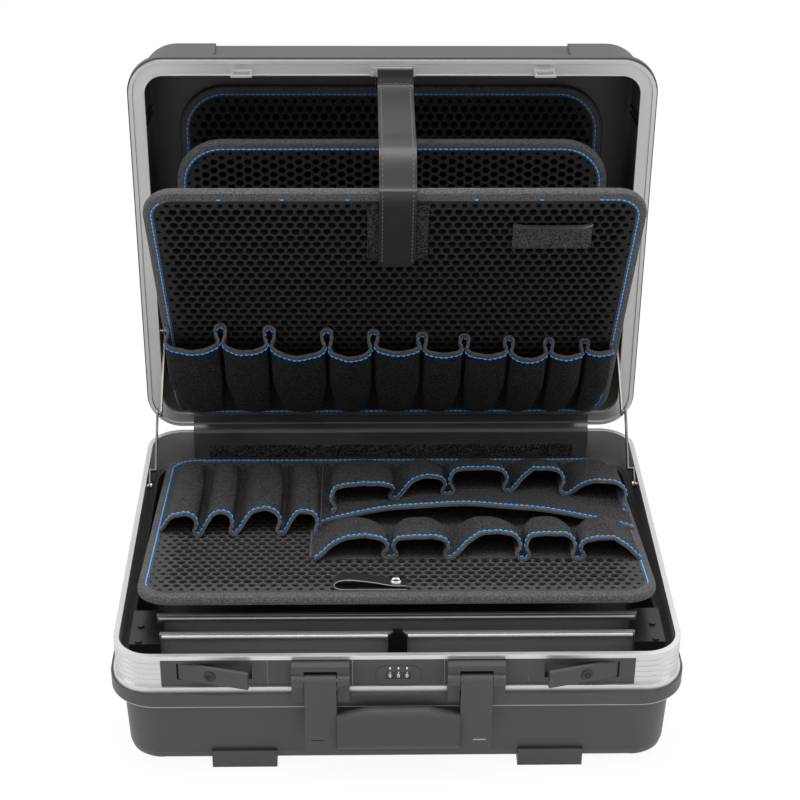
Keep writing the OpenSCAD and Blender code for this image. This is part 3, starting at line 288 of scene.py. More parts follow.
def closed_between(top, low):
    """The closed sheet between two grids of one shape: both faces and the walls round their rims."""
    rows, cols = top.shape[:2]
    n = rows * cols
    quads = grid_faces(rows, cols)
    index = np.arange(n).reshape(rows, cols)
    rim = np.concatenate([index[0], index[1:, -1], index[-1, -2::-1], index[-2:0:-1, 0]])
    after = np.roll(rim, -1)
    walls = np.stack([rim, after, after + n, rim + n], axis=1)
    return np.concatenate([top.reshape(-1, 3), low.reshape(-1, 3)]), [quads, quads[:, ::-1] + n, walls]


def thick_sheet(grid, thickness, lift=0.0):
    """A closed sheet: the grid moved out by lift along its normals, and its copy a thickness below."""
    normals = outward_normals(grid)
    return closed_between(grid + lift * normals, grid + (lift - thickness) * normals)


def joined(parts):
    """Puts several (points, faces) meshes into one."""
    points, faces, start = [], [], 0
    for p, f in parts:
        points.append(p)
        faces += [q + start for q in f]
        start += len(p)
    return np.concatenate(points), faces


def smooth_path(points, steps):
    """A Catmull-Rom curve through the points, with that many steps between two of them."""
    p = np.asarray(points, float)
    p = np.concatenate([2 * p[:1] - p[1:2], p, 2 * p[-1:] - p[-2:-1]])
    t = np.linspace(0, 1, steps, endpoint=False)[:, None]
    a, b, c, d = (p[i : len(p) - 3 + i, None] for i in range(4))
    curve = 0.5 * (2 * b + (c - a) * t + (2 * a - 5 * b + 4 * c - d) * t**2 + (3 * b - a - 3 * c + d) * t**3)
    return np.concatenate([curve.reshape(-1, p.shape[1]), p[-2:-1]])


def even(path, step, closed=False):
    """The path resampled at even distances of about step."""
    p = np.concatenate([path, path[:1]]) if closed else path
    s = np.concatenate([[0], np.cumsum(np.linalg.norm(np.diff(p, axis=0), axis=1))])
    n = max(2, round(s[-1] / step))
    at = np.linspace(0, s[-1], n + (not closed), endpoint=not closed)
    return np.stack([np.interp(at, s, p[:, k]) for k in range(p.shape[1])], axis=1)


def outline(corners, radius, step=2.4):
    """A closed path round convex corners, anticlockwise, and its inward normals.

    Each corner is turned by an arc of the radius that touches both of its sides.
    """
    p = np.asarray(corners, float)
    back, ahead = unit(p - np.roll(p, 1, axis=0)), unit(np.roll(p, -1, axis=0) - p)
    left = np.stack([-back[:, 1], back[:, 0]], axis=1)
    turn = np.arccos(np.clip((back * ahead).sum(1), -1, 1))
    reach = radius * np.tan(turn / 2)
    centre = p - back * reach[:, None] + left * radius
    t = np.linspace(0, 1, 17)[None, :, None] * turn[:, None, None]
    arcs = centre[:, None] + radius * (-left[:, None] * np.cos(t) + back[:, None] * np.sin(t))
    path = even(arcs.reshape(-1, 2), step, closed=True)
    way = unit(np.roll(path, -1, axis=0) - np.roll(path, 1, axis=0))
    return path, np.stack([-way[:, 1], way[:, 0]], axis=1)


def round_the_edge(path, inward, profile):
    """A profile of (inset, height) points carried round a closed path."""
    inset, height = np.asarray(profile, float).T
    flat = path[:, None] + inward[:, None] * inset[None, :, None]
    return np.concatenate([flat, np.broadcast_to(height[None, :, None], flat.shape[:2] + (1,))], axis=2)


def dashes(path, normals, size):
    """Stitches along a path: at every pitch a six-sided thread, drawn as rings, that dips at both ends."""
    s = np.concatenate([[0], np.cumsum(np.linalg.norm(np.diff(path, axis=0), axis=1))])
    count = max(1, int(s[-1] / size.stitch_pitch))
    start = (np.arange(count) + 0.5) * s[-1] / count
    along = np.linspace(-0.5, 0.5, 5) * size.stitch_length
    at = start[:, None] + along[None]
    centre = np.stack([np.interp(at, s, path[:, k]) for k in range(3)], axis=-1)
    up = unit(np.stack([np.interp(at, s, normals[:, k]) for k in range(3)], axis=-1))
    way = unit(np.gradient(centre, axis=1))
    side = unit(np.cross(way, up))
    fat = np.array((0.5, 1.0, 1.0, 1.0, 0.5)) * size.thread / 2
    dip = np.array((-0.5, 0.0, 0.05, 0.0, -0.5)) * size.thread
    turn = np.arange(6) * math.tau / 6
    ring = side[:, :, None] * np.cos(turn)[:, None] + up[:, :, None] * np.sin(turn)[:, None]
    points = (centre + up * dip[:, None])[:, :, None] + ring * fat[:, None, None]
    quads = grid_faces(5, 6, wrap_cols=True)
    starts = (np.arange(count) * 30)[:, None, None]
    caps = np.array([[5, 4, 3, 2, 1, 0], [24, 25, 26, 27, 28, 29]])
    return points.reshape(-1, 3), [(starts + quads).reshape(-1, 4), (starts + caps).reshape(-1, 6)]


def turned_profile(profile, sides=40):
    """A closed solid of revolution about the third axis.

    Its profile is (radius, height) points that start and end on the axis.
    """
    r, h = np.asarray(profile[1:-1], float).T
    turn = np.arange(sides) * math.tau / sides
    tall = np.broadcast_to(h[:, None], (len(r), sides))
    rings = np.stack([r[:, None] * np.cos(turn), r[:, None] * np.sin(turn), tall], axis=2)
    n = len(r) * sides
    ends = np.array([(0, 0, profile[0][1]), (0, 0, profile[-1][1])])
    k = np.arange(sides)
    first = np.stack([np.full(sides, n), (k + 1) % sides, k], axis=1)
    last = np.stack([np.full(sides, n + 1), n - sides + k, n - sides + (k + 1) % sides], axis=1)
    faces = [grid_faces(len(r), sides, wrap_cols=True), first, last]
    return np.concatenate([rings.reshape(-1, 3), ends]), faces


def bar(x, y, z):
    """A closed box between two values of each coordinate, as eight points and six faces."""
    points = np.array([(a, b, c) for c in z for b in y for a in x], float)
    faces = np.array([(0, 2, 3, 1), (4, 5, 7, 6), (0, 1, 5, 4), (2, 6, 7, 3), (0, 4, 6, 2), (1, 3, 7, 5)])
    return points, [faces]


def rod(start, end, radius, sides=12):
    """A straight rod between two points that lie along the first axis."""
    turn = np.arange(sides) * math.tau / sides
    ring = np.stack([0 * turn, radius * np.cos(turn), radius * np.sin(turn)], axis=1)
    points = np.linspace(start, end, 3)[:, None] + ring
    caps = np.array([np.arange(sides)[::-1], np.arange(sides) + 2 * sides])
    return points.reshape(-1, 3), [grid_faces(3, sides, wrap_cols=True), caps]


# ---- perforated boards ----


def hole_cells(path, size, turned):
    """Centres of a hexagonal pattern inside an outline, with each one's distance to the outline."""
    low, high = path.min(0), path.max(0)
    middle = (low + high) / 2
    span = int(max(high - low) / size.hole_pitch) + 2
    i, j = (a.ravel() for a in np.meshgrid(np.arange(-span, span), np.arange(-span, span)))
    first = (i + 0.5 * (j % 2)) * size.hole_pitch
    second = j * size.hole_pitch * math.sqrt(3) / 2
    cells = np.stack([second, first] if turned else [first, second], axis=1) + middle
    step = np.roll(path, -1, axis=0) - path
    away = cells[:, None] - path[None]
    inside = (step[None, :, 0] * away[..., 1] - step[None, :, 1] * away[..., 0] > 0).all(1)
    near = np.sqrt((away[inside] ** 2).sum(-1).min(1))
    return cells[inside], near


def pushed_inside(points, path, margin):
    """Moves what lies nearer than the margin to a convex outline, or beyond it, straight back inside."""
    step = np.roll(path, -1, axis=0) - path
    inward = unit(np.stack([-step[:, 1], step[:, 0]], axis=1))
    flat = points.reshape(-1, 3).copy()
    depth = flat[:, :2] @ inward.T - (path * inward).sum(1)
    worst = depth.argmin(1)
    short = np.clip(margin - depth[np.arange(len(flat)), worst], 0, None)
    flat[:, :2] += inward[worst] * short[:, None]
    return flat.reshape(points.shape)


# Cells nearer the outline than the margin are left out, and those in the band are pushed inside it.
CELL_MARGIN = 3.0
EDGE_BAND = 7.0
EDGE_INSET = 1.2


def perforated_face(path, size, turned, fade):
    """Felt with blind holes: each hexagon runs from its rim to a rounded edge, down a wall and over a floor.

    Holes shrink towards the outline over the fade distance, and none is cut under the tape.
    """
    cells, near = hole_cells(path, size, turned)
    keep = near > CELL_MARGIN
    cells, near = cells[keep], near[keep]
    open_from = size.tape_width + 1.0
    grow = np.clip((near - open_from) / fade, 0, 1)
    radius = size.hole_size / 2 * np.where(near > open_from, 0.3 + 0.7 * grow**0.7, 0.1)
    depth = np.where(near > open_from, size.hole_depth * (0.25 + 0.75 * grow), 0.05)
    angle = np.arange(12) * math.tau / 12 + (0.0 if turned else math.tau / 12)
    hexagon = size.hole_pitch / math.sqrt(3) * np.where(np.arange(12) % 2 == 0, 1, math.sqrt(3) / 2)
    ways = np.stack([np.cos(angle), np.sin(angle)], axis=1)
    reach = np.stack(
        [np.broadcast_to(hexagon, (len(cells), 12))]
        + [np.repeat(radius[:, None] * k, 12, axis=1) for k in (1.12, 1.0, 0.92)],
        axis=1,
    )
    drop = np.stack([0 * depth, 0 * depth, -0.12 * depth - 0.2 * (depth > 1), -depth], axis=1)
    rings = cells[:, None, None] + reach[..., None] * ways
    rings = np.concatenate([rings, np.broadcast_to(drop[:, :, None, None], rings.shape[:3] + (1,))], axis=3)
    floor = np.concatenate([cells, -depth[:, None]], axis=1)[:, None]
    points = np.concatenate([rings.reshape(len(cells), 48, 3), floor], axis=1)
    outer = near < EDGE_BAND
    points[outer] = pushed_inside(points[outer], path, EDGE_INSET)
    points = points.reshape(-1, 3)
    starts = (np.arange(len(cells)) * 49)[:, None, None]
    quads = grid_faces(4, 12, wrap_cols=True)
    k = np.arange(12)
    fan = np.stack([36 + k, 36 + (k + 1) % 12, np.full(12, 48)], axis=1)
    return welded(points, [(starts + quads).reshape(-1, 4), (starts + fan).reshape(-1, 3)])


# Depth in millimetres at which the felt is painted fully dark: black foam and painted shade in the holes.
FOAM_AND_SHADE_DEPTH = 1.6


def board(name, at, corners, radius, body, node, turned=False, fade=13.0, hidden=None):
    """One board: perforated felt on a stiff core, tape bound round its edge and stitches through the tape.

    Stitches are left out where hidden says that the tape curls over them.
    """
    size = sizes()
    path, inward = outline(corners, radius)
    points, faces = perforated_face(path, size, turned, fade)
    floor = -size.hole_depth - 0.4
    core = round_the_edge(path, inward, [(2.0, floor), (2.0, floor - 1.2)])
    n = len(path)
    core_faces = [grid_faces(n, 2, wrap_rows=True), np.arange(n)[None] * 2, np.arange(n)[None, ::-1] * 2 + 1]
    felt = joined([(points, faces), (core.reshape(-1, 3), core_faces)])
    # The core lies below the felt, so it counts as deep too: the back of a board is as dark as its holes,
    # black foam with painted shade.
    foam_and_shade = np.clip(-felt[0][:, 2] / FOAM_AND_SHADE_DEPTH, 0, 1)
    # Lid boards take the darker felt, which is painted shade.
    material = finish("needled felt" if at is ON_BASE else "shaded lid felt")
    piece(name + "_felt", at(felt[0]), felt[1], material, body, [node], foam_and_shade=foam_and_shade)
    lip, proud, thick = size.tape_width, size.tape_proud, 2 * HALF_BOARD
    half = [(lip, -0.6), (lip, 0.55 * proud), (lip - 0.7, 0.9 * proud), (lip - 2.0, proud)]
    half += [(4.0, proud), (2.0, 0.8 * proud), (0.7, 0.1 * proud), (0.0, -1.6)]
    under = [(w, -thick - h) for w, h in half[::-1]]
    tape = round_the_edge(path, inward, half + under)
    tape_faces = [grid_faces(n, len(half) * 2, wrap_rows=True, wrap_cols=True)]
    piece(name + "_binding", at(tape.reshape(-1, 3)), tape_faces, finish("binding tape"), body)
    line = path + inward * (lip - 2.2)
    line = np.roll(line, -int(np.argmin(line[:, 1] + 0.01 * line[:, 0])), axis=0)
    keep = np.ones(len(line), bool) if hidden is None else ~hidden(line)
    seam = []
    for height, way in ((proud + 0.3, 1.0), (-thick - proud - 0.3, -1.0)):
        for run in np.split(np.arange(len(line)), np.nonzero(np.diff(keep.astype(int)))[0] + 1):
            if keep[run[0]] and len(run) > 3:
                flat = line[run]
                stitched = np.concatenate([flat, np.full((len(flat), 1), height)], axis=1)
                seam.append(dashes(stitched, np.tile((0.0, 0.0, way), (len(flat), 1)), size))
    thread = joined(seam)
    piece(name + "_stitches", at(thread[0]), thread[1], finish("sewing thread"), body)


def rectangle(width, low, high):
    """Corners of an upright rectangle centred across, anticlockwise."""
    half = width / 2
    return [(-half, low), (half, low), (half, high), (-half, high)]


def curls_at_top(line):
    """Where the tape of the front board curls over its stitches, in runs along the upper edge."""
    return (line[:, 1] > FRONT_HEIGHT - 12) & (line[:, 0] < 190) & (np.sin(line[:, 0] / 9.0) < 0.8)


def curls_at_foot(line):
    """Where the tape of the base board curls over its stitches, along the front edge."""
    return line[:, 1] < 22


def make_boards():
    """The three boards of the lid and the one of the base."""
    low, high = FRONT_LOW / 2, FRONT_HIGH / 2
    front = [(-low, 0), (low, 0), (high, FRONT_HEIGHT), (-high, FRONT_HEIGHT)]
    board("front_board", ON_FRONT, front, FRONT_RADIUS, "front_board", "lid_board_front", hidden=curls_at_top)
    middle = rectangle(LID_BOARD_WIDTH, 0, MIDDLE_HEIGHT)
    radius = LID_BOARD_RADIUS
    board("middle_board", ON_MIDDLE, middle, radius, "middle_board", "lid_board_middle", turned=True)
    back = rectangle(LID_BOARD_WIDTH, 0, BACK_HIGH[2] - BACK_LOW[2])
    board("back_board", ON_BACK, back, radius, "lid", "lid_board_back")
    base = rectangle(BASE_WIDTH, 0, BASE_LENGTH)
    radius = BASE_RADIUS
    board("base_board", ON_BASE, base, radius, "tool_board", "base_board", fade=22.0, hidden=curls_at_foot)


# ---- pockets ----


# Flanks of a pocket as (share of its width, share of its height).
SLOPE = ((0.0, 0.03), (0.10, 0.28), (0.22, 0.62), (0.38, 0.91))
TUCK = ((0.03, 0.03), (0.08, 0.20), (0.02, 0.46), (0.05, 0.76), (0.17, 0.95))
PLEAT = ((0.0, 0.02), (0.055, 0.14), (0.055, 0.38), (0.0, 0.66), (0.08, 0.86), (0.28, 0.97))


def pocket_section(width, left, right, crest):
    """Section of one pocket at its mouth, up a left flank, over the crest and down a right one.

    It gives x across the pocket in millimetres and height from 0 to 1.
    """
    shape = [*left, (crest, 1.0), *((1.0 - u, h) for u, h in reversed(right))]
    x, h = smooth_path(shape, 4).T
    return np.stack([x * width, h], axis=1)


ROW_SEED = 3


class Row:
    """A row of pockets sewn from one strip.

    Each pocket has a width, a left and a right flank, a crest, a swell and the distance along the board of
    the middle of its mouth. Seams are such distances for the ends of the row and between its pockets.
    """

    def __init__(self, start, gap, closed, seams, pockets, low, squeeze=1.0):
        self.closed, self.low = closed, low
        self.flow = math.copysign(1.0, seams[0] - closed)
        sections, x = [], start
        for k, (width, left, right, crest, swell, middle) in enumerate(pockets):
            part = pocket_section(width, left, right, crest)
            u = np.linspace(0, 1, len(part))
            seam = np.where(u < 0.5, seams[k], seams[k + 1])
            mouth = middle + (seam - middle) * np.clip(1 - part[:, 1], 0, 1) ** 0.7
            flat = x + width * u
            swells = np.full(len(part), swell)
            sections.append(np.stack([x + part[:, 0], part[:, 1], mouth, swells, flat], axis=1))
            x += width + gap
        strip = np.concatenate(sections)
        self.x, self.h, self.mouth, self.swell, self.flat = strip.T
        self.flat = squeeze * (self.flat + 15.0) - 15.0
        self.wave = np.random.default_rng(ROW_SEED).uniform(0, math.tau, 4)

    def surface(self, q):
        """Points of the strip for rows of distances q along the board.

        The section grows from the low swell at the closed end to the full one at the mouth, and its pleats
        open with it. Creases are products of sines whose phases are drawn once.
        """
        v = np.clip((q - self.closed) / (self.mouth - self.closed), 0, 1)
        tuck = np.sqrt(np.clip(1 - (1 - np.clip(v / 0.08, 0, 1)) ** 2, 0, 1))
        height = (self.low + (self.swell - self.low) * v**0.8) * tuck * self.h
        open_up = np.clip(v * 2.2, 0, 1) ** 0.6
        x = self.flat * (1 - open_up) + self.x * open_up
        w = self.wave
        crease = 0.55 * np.sin(self.x * 0.31 + 7 * v + w[0]) * np.sin(self.x * 0.11 + w[1])
        crease = crease + 0.4 * np.sin(self.x * 0.23 - 11 * v + w[2]) * np.sin(9 * v + w[3])
        height = height + crease * v * np.clip(self.h * 1.5 - 0.2, 0, 1) + 0.7
        return np.stack([x, q, height], axis=2)

    def whole(self, v):
        """Points of the strip for shares v of the way from the closed end to the mouth."""
        return self.surface(self.closed + (self.mouth - self.closed) * v)

    def cloth(self, thickness):
        """The closed sheet of the whole strip."""
        v = np.concatenate([[0, 0.01, 0.03], np.linspace(0, 1, 24)[1:]])[:, None]
        return thick_sheet(self.whole(v), thickness)

    def band(self, back, front, rows=4):
        """Rows of points from back to front millimetres behind the mouth."""
        return self.surface(self.mouth - self.flow * np.linspace(back, front, rows)[:, None])


def stretch_of(line):
    """Length along a row of points."""
    return float(np.linalg.norm(np.diff(line, axis=0), axis=1).sum())


def declare(grid):
    """Says that a piece is a sheet; it was cut as long as its free edge and as deep as it is on average."""
    depth = float(np.mean([stretch_of(line) for line in grid.swapaxes(0, 1)]))


STITCH_LIFT = 0.95


def sewn_line(grid, row, size):
    """Stitches along one row of a grid, on the side that faces out of the board."""
    normals = outward_normals(grid)[row]
    return dashes(grid[row] + normals * STITCH_LIFT, normals, size)


def sew_row(name, at, row, body, stands_for=(), kind="pocket cloth"):
    """One pocket row: the cloth strip, the tape folded over its mouth and the stitches through the tape."""
    size = sizes()
    points, faces = row.cloth(size.cloth)
    cloth = piece(name + "_cloth", at(points), faces, finish(kind), body, stands_for)
    hem = row.band(size.hem, 0.0)
    hem[-1, :, 1] += row.flow * 0.7
    points, faces = thick_sheet(hem, size.cloth + 1.0, lift=0.5)
    tape = piece(name + "_hem", at(points), faces, finish("hem tape"), body)
    points, faces = sewn_line(row.band(size.hem - 0.2, size.hem - 1.4), 1, size)
    thread = piece(name + "_thread", at(points), faces, finish("sewing thread"), body)
    grid = row.whole(np.linspace(0, 1, 24)[:, None])
    declare(grid)


BASE_GAP = 2.4
BASE_END = 302.0
BLOCK_LEFT = -73.0
# Width, left flank, right flank, crest, swell and middle of each pocket, as Row takes them.
LID_POCKETS = (
    (51.5, PLEAT, PLEAT, 0.52, 17.0, 117),
    (42.2, PLEAT, PLEAT, 0.45, 17.0, 116),
    (51.6, PLEAT, PLEAT, 0.45, 17.5, 109),
    (40.4, PLEAT, PLEAT, 0.50, 17.5, 107),
    (43.3, PLEAT, PLEAT, 0.62, 16.5, 114),
    (36.8, PLEAT, PLEAT, 0.60, 16.5, 111),
    (39.6, PLEAT, PLEAT, 0.48, 16.5, 109),
    (34.9, PLEAT, PLEAT, 0.52, 17.0, 104),
    (31.2, PLEAT, PLEAT, 0.55, 16.5, 107),
    (25.5, PLEAT, PLEAT, 0.50, 15.5, 112),
)
LID_SEAMS = (136, 137, 134, 130, 128, 124, 121, 118, 116, 114, 111)
LEFT_POCKETS = (
    (35.2, SLOPE, TUCK, 0.62, 20.0, 134),
    (30.2, SLOPE, TUCK, 0.62, 20.0, 138),
    (41.7, SLOPE, TUCK, 0.62, 21.5, 142),
    (31.7, SLOPE, TUCK, 0.62, 20.5, 138),
)
LEFT_SEAMS = (140, 131, 132, 133, 132)
REAR_POCKETS = (
    (62.2, TUCK, TUCK, 0.62, 20.0, 206),
    (47.7, SLOPE, TUCK, 0.62, 20.5, 223),
    (58.7, TUCK, TUCK, 0.52, 24.0, 236),
    (51.7, SLOPE, TUCK, 0.45, 24.0, 235),
    (54.2, SLOPE, TUCK, 0.60, 21.0, 208),
)
REAR_SEAMS = (181, 216, 226, 233, 224, 190)
FRONT_POCKETS = (
    (66.7, SLOPE, TUCK, 0.62, 20.0, 82),
    (51.7, TUCK, TUCK, 0.52, 20.0, 80),
    (62.7, SLOPE, TUCK, 0.52, 22.0, 86),
    (46.2, TUCK, TUCK, 0.60, 21.0, 84),
    (55.7, TUCK, SLOPE, 0.50, 19.0, 78),
)
FRONT_SEAMS = (75, 78, 77, 74, 73, 72)


def make_lid_pockets():
    """The long row of pockets on the front board of the lid."""
    row = Row(
        start=-216.0, gap=3.2, closed=9.0, seams=LID_SEAMS, pockets=LID_POCKETS, low=6.0, squeeze=0.955
    )
    # The lid row takes the darker cloth, which is painted shade.
    sew_row("lid_pockets", ON_FRONT, row, "front_board", ["lid_pockets"], "shaded lid cloth")


def cloth_top(x):
    """Distance along the board of the rear pocket mouths, as straight runs that make an arch over x."""
    across = (-80, -66, -4, 46, 88, 112, 141, 169, 223)
    along = (172, 180, 214, 225, 234, 234, 233, 223, 188)
    return np.interp(x, across, along)


def cover_flap():
    """The wide cloth band over the closed ends of the front row.

    It is flat at its root and arched at its free edge, highest right of the middle.
    """
    u = np.linspace(0, 1, 110)[None]
    v = np.linspace(0, 1, 18)[:, None]
    x = BLOCK_LEFT + 4 + (218.0 - BLOCK_LEFT) * u
    root, edge = cloth_top(x) - 7.0, 152.0 - 13.0 * u + 4.0 * np.sin(math.pi * u)
    q = root + (edge - root) * v
    arch = np.sin(math.pi * u**0.9) ** 0.8
    height = 2.0 + (3.0 * v**0.5 + 17.5 * v**1.2) * arch + 0.5 * np.sin(24 * u + 3 * v) * v * arch
    return np.stack(np.broadcast_arrays(x, q, height), axis=2)


def make_seam_strip():
    """The flat band left of the rear pockets with its two dotted seams."""
    size = sizes()
    x = np.linspace(BLOCK_LEFT - 5.5, BLOCK_LEFT + 6.0, 8)[None]
    q = np.linspace(78.0, 303.0, 50)[:, None]
    points, faces = thick_sheet(np.stack(np.broadcast_arrays(x, q, 2.0 + 0 * q), axis=2), 1.2)
    piece("seam_strip", ON_BASE(points), faces, finish("pocket cloth"), "tool_board")
    lines = []
    for side in (BLOCK_LEFT - 3.6, BLOCK_LEFT + 4.0):
        run = np.linspace(80.0, 301.0, 110)
        line = np.stack([np.full(110, side), run, np.full(110, 2.3)], axis=1)
        lines.append(dashes(line, np.tile((0.0, 0.0, 1.0), (110, 1)), size))
    points, faces = joined(lines)
    piece("seam_strip_thread", ON_BASE(points), faces, finish("black thread"), "tool_board")


def make_cover_band():
    """The band over the closed ends of the front row, the tape along its free edge and the stitches in it."""
    size = sizes()
    flap = cover_flap()
    points, faces = thick_sheet(flap, size.cloth)
    band = piece("cover_flap", ON_BASE(points), faces, finish("pocket cloth"), "tool_board")
    hem = flap[-4:].copy()
    hem[:, :, 1] = flap[-1, :, 1] + np.array((4.8, 3.0, 1.4, -0.6))[:, None]
    hem[:, :, 2] = flap[-1, :, 2]
    points, faces = thick_sheet(hem, size.cloth + 0.9, lift=0.45)
    tape = piece("cover_flap_hem", ON_BASE(points), faces, finish("hem tape"), "tool_board")
    points, faces = sewn_line(hem, 0, size)
    thread = finish("sewing thread")
    stitches = piece("cover_flap_thread", ON_BASE(points), faces, thread, "tool_board")
    declare(flap)


def make_backing():
    """The cloth behind the rear and front rows, laid on the board with a faint wave."""
    x = np.linspace(BLOCK_LEFT - 5, 221.0, 60)[None]
    q = np.linspace(77.0, 304.0, 50)[:, None]
    grid = np.stack(np.broadcast_arrays(x, q, 0.75 + 0.1 * np.sin(x * 0.3 + q * 0.2)), axis=2)
    points, faces = thick_sheet(grid, 0.7)
    back = piece("pocket_backing", ON_BASE(points), faces, finish("pocket cloth"), "tool_board")
    declare(grid)


def make_base_pockets():
    """The three rows on the base board, the cloth behind them and the band between them."""
    for name, start, closed, seams, pockets, low in (
        ("left", -217.0, BASE_END, LEFT_SEAMS, LEFT_POCKETS, 9.0),
        ("rear", BLOCK_LEFT + 12, BASE_END, REAR_SEAMS, REAR_POCKETS, 9.0),
        ("front", BLOCK_LEFT, 150.0, FRONT_SEAMS, FRONT_POCKETS, 11.0),
    ):
        row = Row(start, BASE_GAP, closed, seams, pockets, low)
        sew_row(name + "_pockets", ON_BASE, row, "tool_board", ["base_pockets_" + name])
    make_cover_band()
    make_backing()
    make_seam_strip()


LABEL_LEFT, LABEL_RIGHT, LABEL_LOW, LABEL_HIGH = 105.0, 176.0, 238.6, 269.6
PATCH_LEFT, PATCH_RIGHT, PATCH_LOW, PATCH_HIGH = -25.0, 30.0, 225.0, 293.0


def make_label_pocket():
    """The flat pocket near the top of the front board and its piped upper edge."""
    size = sizes()
    u = np.linspace(-1, 1, 40)[None]
    q = np.linspace(LABEL_LOW, LABEL_HIGH, 18)[:, None]
    v = (q - LABEL_LOW) / (LABEL_HIGH - LABEL_LOW)
    x = (LABEL_LEFT + LABEL_RIGHT) / 2 + (LABEL_RIGHT - LABEL_LEFT) / 2 * u
    height = 1.0 + (1.4 + 2.2 * v) * (1 - np.abs(u) ** 6) * np.clip(v * 12, 0, 1) ** 0.5
    grid = np.stack(np.broadcast_arrays(x, q, height), axis=2)
    points, faces = thick_sheet(grid, size.cloth)
    cloth = finish("pocket cloth")
    piece("label_pocket_cloth", ON_FRONT(points), faces, cloth, "front_board", ["label_pocket"])
    edge = grid[-2:].copy()
    edge[:, :, 1] = np.array((LABEL_HIGH - 2.6, LABEL_HIGH + 0.5))[:, None]
    points, faces = thick_sheet(edge, size.cloth + 1.0, lift=0.5)
    piece("label_pocket_edge", ON_FRONT(points), faces, finish("glossy vinyl"), "front_board")


FUZZ_STEP = 1.5


def fuzzy_strip(x0, x1, y0, y1, height):
    """A strip of hook tape: a grid whose height is broken up by seeded noise, falling to its edges."""
    rng = np.random.default_rng(SEED)
    cols, rows = int((x1 - x0) / FUZZ_STEP), int((y1 - y0) / FUZZ_STEP)
    x = np.linspace(x0, x1, cols)[None]
    y = np.linspace(y0, y1, rows)[:, None]
    rough = rng.uniform(-0.28, 0.28, (rows, cols))
    edge = np.minimum(np.minimum(x - x0, x1 - x), np.minimum(y - y0, y1 - y))
    tall = height * np.clip(0.45 + edge / 2.0, 0, 1) + rough * (edge > 0)
    return thick_sheet(np.stack(np.broadcast_arrays(x, y, tall), axis=2), height * 0.55)


def make_hook_tapes():
    """The hook tape along the rear of the base and the patch under the strap."""
    tape = finish("hook tape")
    points, faces = fuzzy_strip(PATCH_LEFT, PATCH_RIGHT, PATCH_LOW, PATCH_HIGH, 1.2)
    piece("strap_patch", ON_FRONT(points), faces, tape, "front_board", ["velcro_patch"])
    low, high = corner("velcro_strip", 0), corner("velcro_strip", 1)
    at = place((0, high[1], 0), np.array((0.0, 0.0, 1.0)), np.array((0.0, -1.0, 0.0)))
    points, faces = fuzzy_strip(low[0], high[0], low[2], high[2], 1.5)
    piece("rear_hook_tape", at(points), faces, tape, "base", ["velcro_strip"])


# ---- leatherette parts ----


def ribbon(path, width, middle, columns):
    """A grid carried along a path of (depth, height) points, straight across."""
    x = middle + np.linspace(-1, 1, columns) * width / 2
    points = np.broadcast_to(path[:, None], (len(path), columns, 2))
    x = np.broadcast_to(x[None, :, None], (len(path), columns, 1))
    return np.concatenate([x, points], axis=2)


def both_faces(grid, thickness):
    """The closed sheet between a grid and its copy a thickness to the left of the path."""
    way = np.gradient(grid, axis=0)
    out = unit(np.stack([0 * way[..., 0], -way[..., 2], way[..., 1]], axis=2))
    return closed_between(grid, grid + out * thickness)


STRAP_MIDDLE = 2.0
STRAP_TIP = 218.6


def strap_path():
    """The strap's underside in depth and height.

    It runs down from the anchor, straight out to the board's upper edge, over it and down its face.
    """
    over = ((FRONT_HEIGHT + 1.6, -4.0), (FRONT_HEIGHT + 1.2, 0.2), (FRONT_HEIGHT - 4, 1.6))
    down = ((297, 1.9), (280, 1.9), (258, 2.0), (238, 2.0), (STRAP_TIP, 2.2))
    on_board = ON_FRONT([(0, q, p) for q, p in over + down])[:, 1:] / MM
    top = corner("strap_anchor", 1)[2]
    hang = ((1.2, 1.5), (1.6, 12), (7, 19), (34, 25), (84, 32), (122, 34))
    start = [(LID_FACE - ahead, top - below) for ahead, below in hang]
    return even(smooth_path(np.concatenate([start, on_board]), 10), 2.0)


def make_strap():
    """The leatherette strap from the lid's anchor bar to the front board, stitched along each edge."""
    size = sizes()
    path = strap_path()
    grid = ribbon(path, size.strap_width, STRAP_MIDDLE, columns=17)
    tip = np.linalg.norm(path - path[-1], axis=1)
    reach = size.strap_width / 2
    narrow = np.where(tip < 9.0, np.sqrt(np.clip(1 - (1 - tip / 9.0) ** 2, 0, 1)) * 0.45 + 0.55, 1.0)
    grid[..., 0] = STRAP_MIDDLE + (grid[..., 0] - STRAP_MIDDLE) * narrow[:, None]
    points, faces = both_faces(grid, -size.strap_thickness)
    leather = finish("leatherette")
    strap = piece("lid_strap", row_frame(points), faces, leather, "lid", ["strap_tail"])
    way = unit(np.gradient(path, axis=0))
    out = -np.stack([-way[:, 1], way[:, 0]], axis=1)
    seams = []
    for side in (-1, 1):
        keep = slice(4, len(path) - 3)
        top = path[keep] + out[keep] * (size.strap_thickness + 0.1)
        x = np.full((len(top), 1), STRAP_MIDDLE + side * (reach - 3.0))
        seams.append(dashes(np.concatenate([x, top], 1), np.concatenate([0 * x, out[keep]], 1), size))
    cross = np.linspace(-reach + 3, reach - 3, 12)
    spot = path[7] + out[7] * (size.strap_thickness + 0.1)
    line = np.stack([STRAP_MIDDLE + cross, np.full(12, spot[0]), np.full(12, spot[1])], axis=1)
    seams.append(dashes(line, np.tile((0, *out[7]), (12, 1)), size))
    points, faces = joined(seams)
    thread = finish("black thread")
    stitches = piece("lid_strap_seams", row_frame(points), faces, thread, "lid")
    for made in (strap, stitches):
        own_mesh(made)


TAB_MIDDLE = 22.0
TAB_WIDTH = 14.0
# The tab's underside as (across, height) points, from its fixed end round the open loop and back.
TAB_ROUTE = (
    (8, 0.7), (-10, 0.8), (-34, 0.8), (-50, 1.2), (-54.5, 4.2), (-50, 7.6), (-40, 8.4), (-22, 6.2), (-8, 3.6),
    (0, 2.9), (8.5, 2.8),
)
